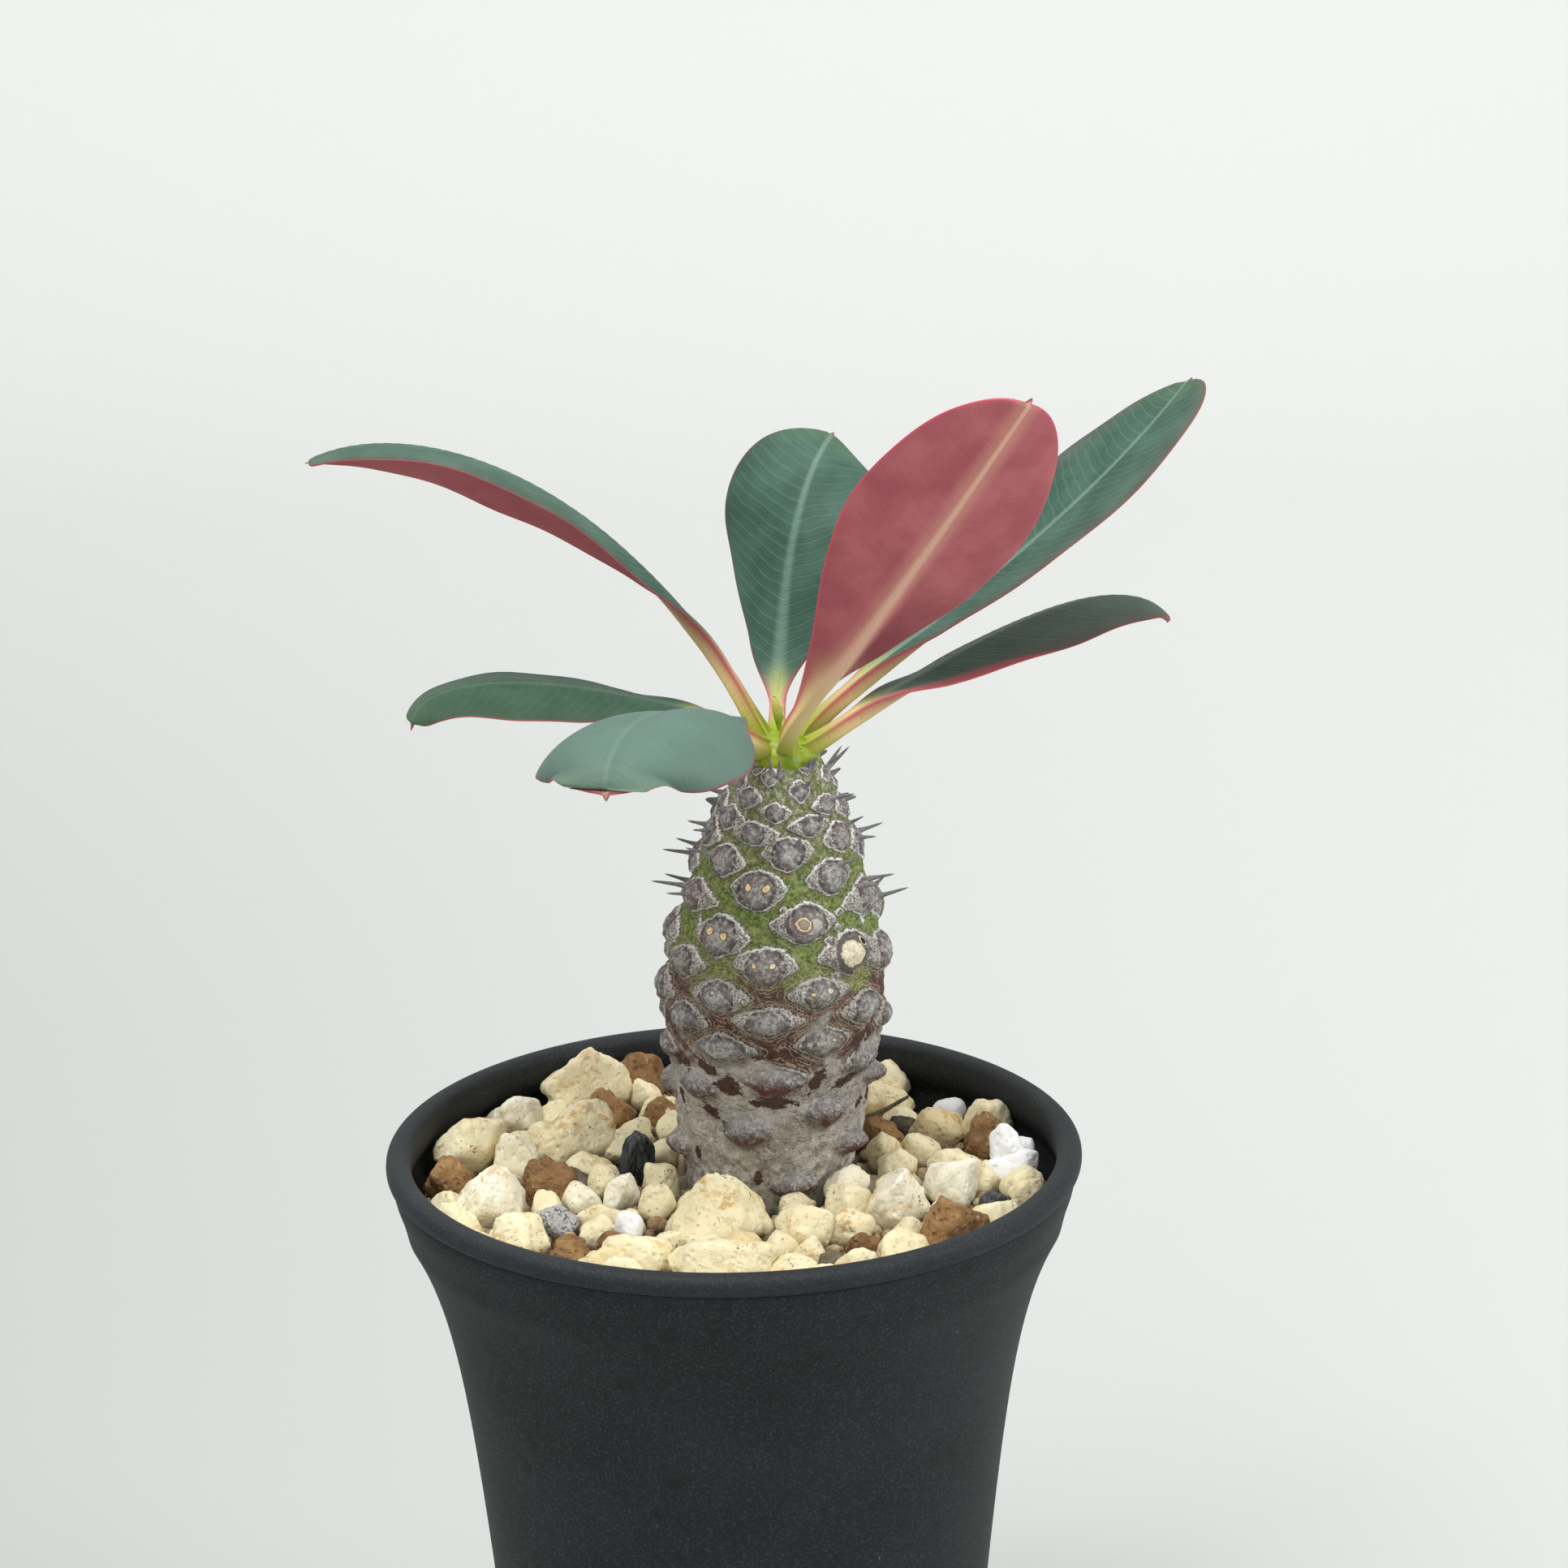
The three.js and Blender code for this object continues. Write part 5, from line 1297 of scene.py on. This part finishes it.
def scatter(placed):
    """The rest of the surface: a repeatable scatter that keeps clear of what lies there."""
    draw = random_draw(77)
    stones = []
    taken = [s[:5] for s in placed]
    for _ in range(SCATTER_TRIES):
        turn, away = 2 * np.pi * draw(), SCATTER_REACH * np.sqrt(draw())
        size, flat = 5 + 3.4 * draw() ** 2, 0.75 + 0.25 * draw()
        spin, lift = 360 * draw(), draw()
        x, y = away * np.cos(turn), away * np.sin(turn)
        by_stem = np.hypot(x - STEM_X, y - STEM_Y) < SCATTER_STEM_ROOM + 0.4 * size
        if by_stem or away + 0.42 * size > SCATTER_EDGE:
            continue
        near = np.array(taken)
        reach = 0.44 * size + 0.22 * (near[:, 3] + near[:, 4])
        if np.any(np.hypot(x - near[:, 0], y - near[:, 1]) < reach):
            continue
        z = SOIL_TOP + (0.15 + 0.22 * lift) * size
        row = [x, y, z, size, size * flat, size * 0.95, spin, 0]
        stones.append(to_stone(row, SCATTER_SEED + len(stones)))
        taken.append(stones[-1][:5])
    return stones


def stone_sides(seeds):
    """The flat sides of each stone: a dozen headings spread evenly and nudged, and their depths."""
    z = 1 - (2 * np.arange(STONE_SIDES) + 1) / STONE_SIDES
    turn = GOLDEN_ANGLE * np.arange(STONE_SIDES)
    flat = np.sqrt(1 - z * z)
    even = np.stack([flat * np.cos(turn), flat * np.sin(turn), z], axis=-1)
    draws = [random_draw(int(seed)) for seed in seeds]
    draws = np.array([[[draw() for _ in range(4)] for _ in range(STONE_SIDES)] for draw in draws])
    return unit(even + 0.7 * (draws[..., :3] - 0.5)), 0.8 + 0.25 * draws[..., 3]


def ball_grid(rows, columns):
    """Unit headings over a ball whose poles lie along X, with its faces."""
    polar = np.pi * (np.arange(rows) + 0.5) / rows
    turn = 2 * np.pi * np.arange(columns) / columns
    x = np.broadcast_to(np.cos(polar)[:, None], (rows, columns))
    y = np.sin(polar)[:, None] * np.cos(turn)
    z = np.sin(polar)[:, None] * np.sin(turn)
    headings, faces = closed_skin(np.stack([x, y, z], axis=-1), [1, 0, 0], [-1, 0, 0])
    return headings, np.where(faces[:, 3:] < 0, faces[:, [0, 2, 1, 3]], faces[:, ::-1])


def swing(points, degrees, axis, towards):
    """Turns each stone's points by its own angle, from one axis towards another."""
    c, s = np.cos(np.radians(degrees))[:, None], np.sin(np.radians(degrees))[:, None]
    a, b = points[..., axis].copy(), points[..., towards].copy()
    points[..., axis], points[..., towards] = c * a - s * b, s * a + c * b


def make_stones(name, stones, material, rows, columns, rough=0.11, sides=None, sharpness=11,
                darkest=0.0):
    """Stones fused in one mesh. A stone's reach in each heading is the p-norm of its flat sides,
    with small bumps, stretched to its length, width and height, narrowed upwards by its taper,
    tilted, turned and moved."""
    stones = np.array(stones, float)
    first_seed = int(stones[0, 8])
    headings, faces = ball_grid(rows, columns)
    normals, depths = sides or stone_sides(stones[:, 8])
    facing = np.maximum(np.einsum("dk,snk->sdn", headings, normals), 0) / depths[:, None]
    reach = (facing ** sharpness).sum(-1) ** (-1 / sharpness)
    points = headings * reach[..., None] * stones[:, None, 3:6] / 2
    size = stones[:, 3:6].mean(axis=1)[:, None]
    shifted = points + stones[:, None, 8:9] * 7.3
    bump = rough * size * (0.14 * waves(shifted, 2.8, 41) + 0.06 * waves(shifted, 1.1, 42, 24))
    points = points * (1 + bump / (reach * size / 2))[..., None]
    draws = np.random.default_rng(first_seed + 1).uniform(0, 1, (len(stones), 2))
    taper = np.where(stones[:, 9] != 0, stones[:, 9], 0.34 * draws[:, 0] - 0.08)
    level = 2 * points[..., 2] / stones[:, None, 5]
    points[..., :2] *= (1 - taper[:, None] * level)[..., None]
    swing(points, stones[:, 7], 1, 2)
    swing(points, stones[:, 6], 0, 1)
    points += stones[:, None, :3]
    # No stone reaches into the pot's wall
    inner = curve_through([[93.4, 43.2], *LIP_INSIDE], points[..., 2])
    room = np.minimum(wall_radius(points[..., 2]) - WALL, inner) - STONE_WALL_CLEAR
    points[..., :2] *= np.minimum(1, room / np.hypot(points[..., 0], points[..., 1]))[..., None]
    tone = np.random.default_rng(first_seed).uniform(darkest, 1, len(stones))
    skin = joined([(stone, faces) for stone in points])
    return make_mesh(name, skin, material, {"tone": np.repeat(tone, len(headings))})


def chip_sides():
    """A charcoal chip's sides: a block split along its grain, with two slanting broken ends."""
    normals = [[1, 0.1, 0], [-1, 0.05, 0.1], [0.1, 1, 0], [0, -1, 0.05], [0.05, 0, -1],
               [0.45, 0.1, 0.9], [-0.5, 0.1, 0.85], [0.6, -0.7, 0.1]]
    depths = [0.86, 0.86, 0.9, 0.9, 1.0, 0.86, 0.98, 1.0]
    return unit(np.array([normals], float)), np.array([depths])


def small_grains(taken):
    """Small grains in the gaps between the stones, clear of the stem and the pot's wall."""
    rng = np.random.default_rng(91)
    taken = np.array([[s[0], s[1], (s[3] + s[4]) / 4] for s in taken])
    grains = []
    for _ in range(GRAIN_TRIES):
        turn, away = rng.uniform(0, 2 * np.pi), GRAIN_REACH * np.sqrt(rng.uniform())
        size = rng.uniform(1.6, 3.4)
        x, y = away * np.cos(turn), away * np.sin(turn)
        lift = rng.uniform(0.1, 0.5)
        if np.hypot(x - STEM_X, y - STEM_Y) < GRAIN_STEM_ROOM + size / 2:
            continue
        if np.any(np.hypot(x - taken[:, 0], y - taken[:, 1]) < 0.55 * taken[:, 2] + 0.5 * size):
            continue
        taken = np.vstack([taken, [x, y, size / 2]])
        shape = size * rng.uniform(0.7, 1.0, 2)
        spin, z = rng.uniform(0, 360), SOIL_TOP + lift * size
        grains.append([x, y, z, size, *shape, spin, 0, GRAIN_SEED + len(grains), 0])
    return grains


def make_bed(material):
    """The grit that fills the pot: a closed turned body whose top is heaped in small lumps."""
    def room(z):
        return wall_radius(z) - WALL - BED_WALL_CLEAR

    # The top lies low enough that the cream finish paints it dark, as the shade between the stones.
    level = SOIL_TOP - BED_LOWERED
    rows = [[0, FLOOR + GAP], [room(FLOOR) - 1.6, FLOOR + GAP]]
    rows += [[room(z), z] for z in np.linspace(6, SOIL_TOP - 1.0, 24)]
    rows += [[r, level] for r in np.linspace(room(SOIL_TOP) - 0.3, 1.0, 90)]
    points, faces = turned([*rows, [0, level]], 256)
    top = points[:, 2] > SOIL_TOP - 0.7
    places = points[top]
    lumps = np.abs(waves(places, 5.5, 51, 20)) * 0.9 + 0.35 * waves(places, 2.2, 52, 24)
    fade = smooth(np.hypot(places[:, 0], places[:, 1]), 41.8, 40)
    points[top, 2] += (lumps - 0.5) * fade
    return make_mesh("grit_fill", (points, faces), material, {"tone": np.full(len(points), 0.3)})


# Camera, floor and light

CAMERA_AT = (7.2415, -650.7706, 357.8615)
CAMERA_PITCH = 0.3110470
CAMERA_ROLL = -0.0161550
SENSOR = 36
CAMERA_LENS = 6650.03 * SENSOR / 1932  # a focal length of 6650 in a photo 1932 pixels wide


def link_turned(thing, right, up, back, at):
    """Adds a camera or light that stands at a place in metres, given its own three axes."""
    bpy.context.scene.collection.objects.link(thing)
    rows = np.stack([right, up, back, np.array(at, float)], axis=1).tolist()
    thing.matrix_world = Matrix([*rows, [0, 0, 0, 1]])


def make_camera():
    """The photo's own viewpoint: a long lens that looks down by about 18 degrees."""
    forward = np.array([0, np.cos(CAMERA_PITCH), -np.sin(CAMERA_PITCH)])
    right = np.array([1.0, 0, 0])
    up = np.cross(right, forward)
    c, s = np.cos(CAMERA_ROLL), np.sin(CAMERA_ROLL)
    data = bpy.data.cameras.new("camera")
    data.sensor_width, data.lens = SENSOR, CAMERA_LENS
    data.clip_start, data.clip_end = 0.01, 20
    camera = bpy.data.objects.new("camera", data)
    link_turned(camera, c * right + s * up, -s * right + c * up, -forward, np.array(CAMERA_AT) * MM)
    bpy.context.scene.camera = camera


def make_light(name, at, size, power):
    """A square soft light at a place in metres, aimed at the middle of the plant."""
    data = bpy.data.lights.new(name, "AREA")
    data.shape, data.size, data.energy = "SQUARE", size, power
    back = unit(np.array(at, float) - np.array([0, 0, 0.13]))
    side = unit(np.cross([0.0, 0.02, 1.0], back))
    link_turned(bpy.data.objects.new(name, data), side, np.cross(back, side), back, at)


def make_room():
    """A pale floor that sweeps up into a pale backdrop, painted darker to the left and towards
    the front as shade, with soft light all round.
    """
    turn = np.linspace(0, np.pi / 2, 24)[1:]
    sweep = np.stack([700 + 500 * np.sin(turn), 500 - 500 * np.cos(turn)], axis=1)
    profile = np.vstack([[[-3000, 0], [700, 0]], sweep, [[1200, 3000]]])
    points = np.zeros((len(profile), 2, 3))
    points[..., 0] = [-3000, 3000]
    points[..., 1:] = profile[:, None] - [0, 0.05]
    r = new_material("studio paper")
    place = r.place()
    left = r.fall(r.coordinate(place, 0), -0.35, 0.25)
    base = r.lay(
        r.mix(r.noise(place, 1.2, 2.0, 0.5), (237, 238, 236), (240, 241, 239)),
        # Painted shade: the paper is darker on the left.
        (left, 0.3, (231, 233, 231)),
        # Painted shade: the paper darkens towards the front, most on the left.
        (r.fall(r.coordinate(place, 1), 0.05, 1.10), 0.95,
         r.mix(left, (205, 208, 205), (165, 168, 165))),
    )
    skin = points, sheet_faces(len(profile), 2, False)
    make_mesh("studio_sweep", skin, r.finish(base, 0.95, 0.1))
    world = bpy.data.worlds.new("studio")
    bpy.context.scene.world = world
    world.use_nodes = True
    background = world.node_tree.nodes["Background"]
    background.inputs["Color"].default_value = (0.985, 1.0, 0.99, 1)
    background.inputs["Strength"].default_value = 0.45
    make_light("top_light", (-0.25, -0.15, 1.2), 0.7, 12.0)
    make_light("front_light", (-0.7, -1.1, 0.9), 0.8, 4.5)
    make_light("right_light", (1.0, -0.25, 0.7), 0.7, 6.8)


# Everything in place

make_camera()
make_room()
bpy.context.scene.view_settings.view_transform = "Standard"

make_pot(pot_material())
make_stem(stem_material())
make_thorns(thorn_material())

leaf_skin = leaf_material()
for index, (leaf_name, leaf_row) in enumerate(LEAVES.items()):
    blade = make_leaf(leaf_name + "_blade", leaf_row, leaf_skin, seed=index)
    seat_piece(blade, "leaf", leaf_name)
tip_skin = crown_material()
make_crown(tip_skin)
bud = make_leaf("unopened_leaf", BUD, tip_skin, rows=60, columns=20)
seat_piece(bud, "tip_green", "growing_tip")

# Stone finishes: pale, deep, specks and stains, then grain, share of specks, how stained, depth
cream = cream_material()
clay = stone_material("brown clay", (176, 138, 94), (118, 88, 58), (214, 188, 146),
                      (100, 72, 48), 1700.0, 0.20, 0.55, 1.0)
charcoal = charcoal_material()
perlite = stone_material("white perlite", (251, 252, 252), (236, 239, 240), (206, 210, 211),
                         (244, 245, 245), 1300.0, 0.12, 0.3, 0.45)
granite = stone_material("grey granite", (196, 196, 194), (112, 114, 116), (46, 48, 50),
                         (170, 164, 152), 2600.0, 0.30, 0.4, 0.35)
slate = stone_material("dark slate", (138, 130, 112), (74, 70, 60), (44, 42, 38),
                       (112, 104, 74), 1900.0, 0.2, 0.5, 0.5)
fines = stone_material("fine grit", (224, 208, 168), (128, 98, 66), (88, 70, 50),
                       (150, 112, 70), 2200.0, 0.2, 0.5, 0.4)
# By kind of odd stone: its finish, its slot, and what is special in its shape
ODD_FINISHES = {
    "clay_grain": (clay, "brown_clay", {"rough": 0.18}),
    "charcoal_chip": (charcoal, "charcoal", {"sides": chip_sides(), "sharpness": 18}),
    "white_grain": (perlite, "white_perlite", {}),
    "grey_stone": (granite, "grey_granite", {}),
}

cream_stones = [to_stone(row, CREAM_SEED + i) for i, row in enumerate(CREAM_STONES)]
odd_stones = []
for k, (kind, rows) in enumerate(ODD_STONES.items()):
    finish, odd_slot, special = ODD_FINISHES[kind]
    for i, row in enumerate(rows):
        stone = to_stone(row, ODD_SEED + ODD_SEED_STEP * k + i)
        odd_stones.append(stone)
        lumps, shape = [stone], special
        if kind == "white_grain" and i == 0:
            lumps = WHITE_LOBES
        if kind == "white_grain" and i == 1:
            shape = {"sharpness": 4}
        piece = make_stones(f"{kind}_{i + 1}_surface", lumps, finish, 34, 48, **shape)
        seat_piece(piece, odd_slot, f"{kind}_{i + 1}")
loose_stones = scatter([*cream_stones, *odd_stones])
grains = small_grains([*cream_stones, *odd_stones, *BROWN_CHIPS, *SLATE_CHIPS, *loose_stones])
twig_skin, twig_share = tube(TWIG, [0.3, 0.34, 0.3, 0.26, 0.2], 10)

# The pieces that stand for the gravel bed, each with its slot
for piece, bed_slot in (
    (make_stones("large_stones", cream_stones, cream, 34, 48, darkest=0.1), "cream_grit"),
    (make_stones("loose_stones", loose_stones, cream, 22, 32), "cream_grit"),
    (make_stones("brown_chips", BROWN_CHIPS, clay, 22, 32), "brown_clay"),
    (make_stones("slate_chips", SLATE_CHIPS, slate, 22, 32), "grey_granite"),
    (make_mesh("twig", twig_skin, slate, {"tone": 0 * twig_share}), "grey_granite"),
    (make_stones("small_grains", grains, fines, 6, 8), "cream_grit"),
    (make_bed(cream), "cream_grit"),
):
    seat_piece(piece, bed_slot, "gravel_bed")
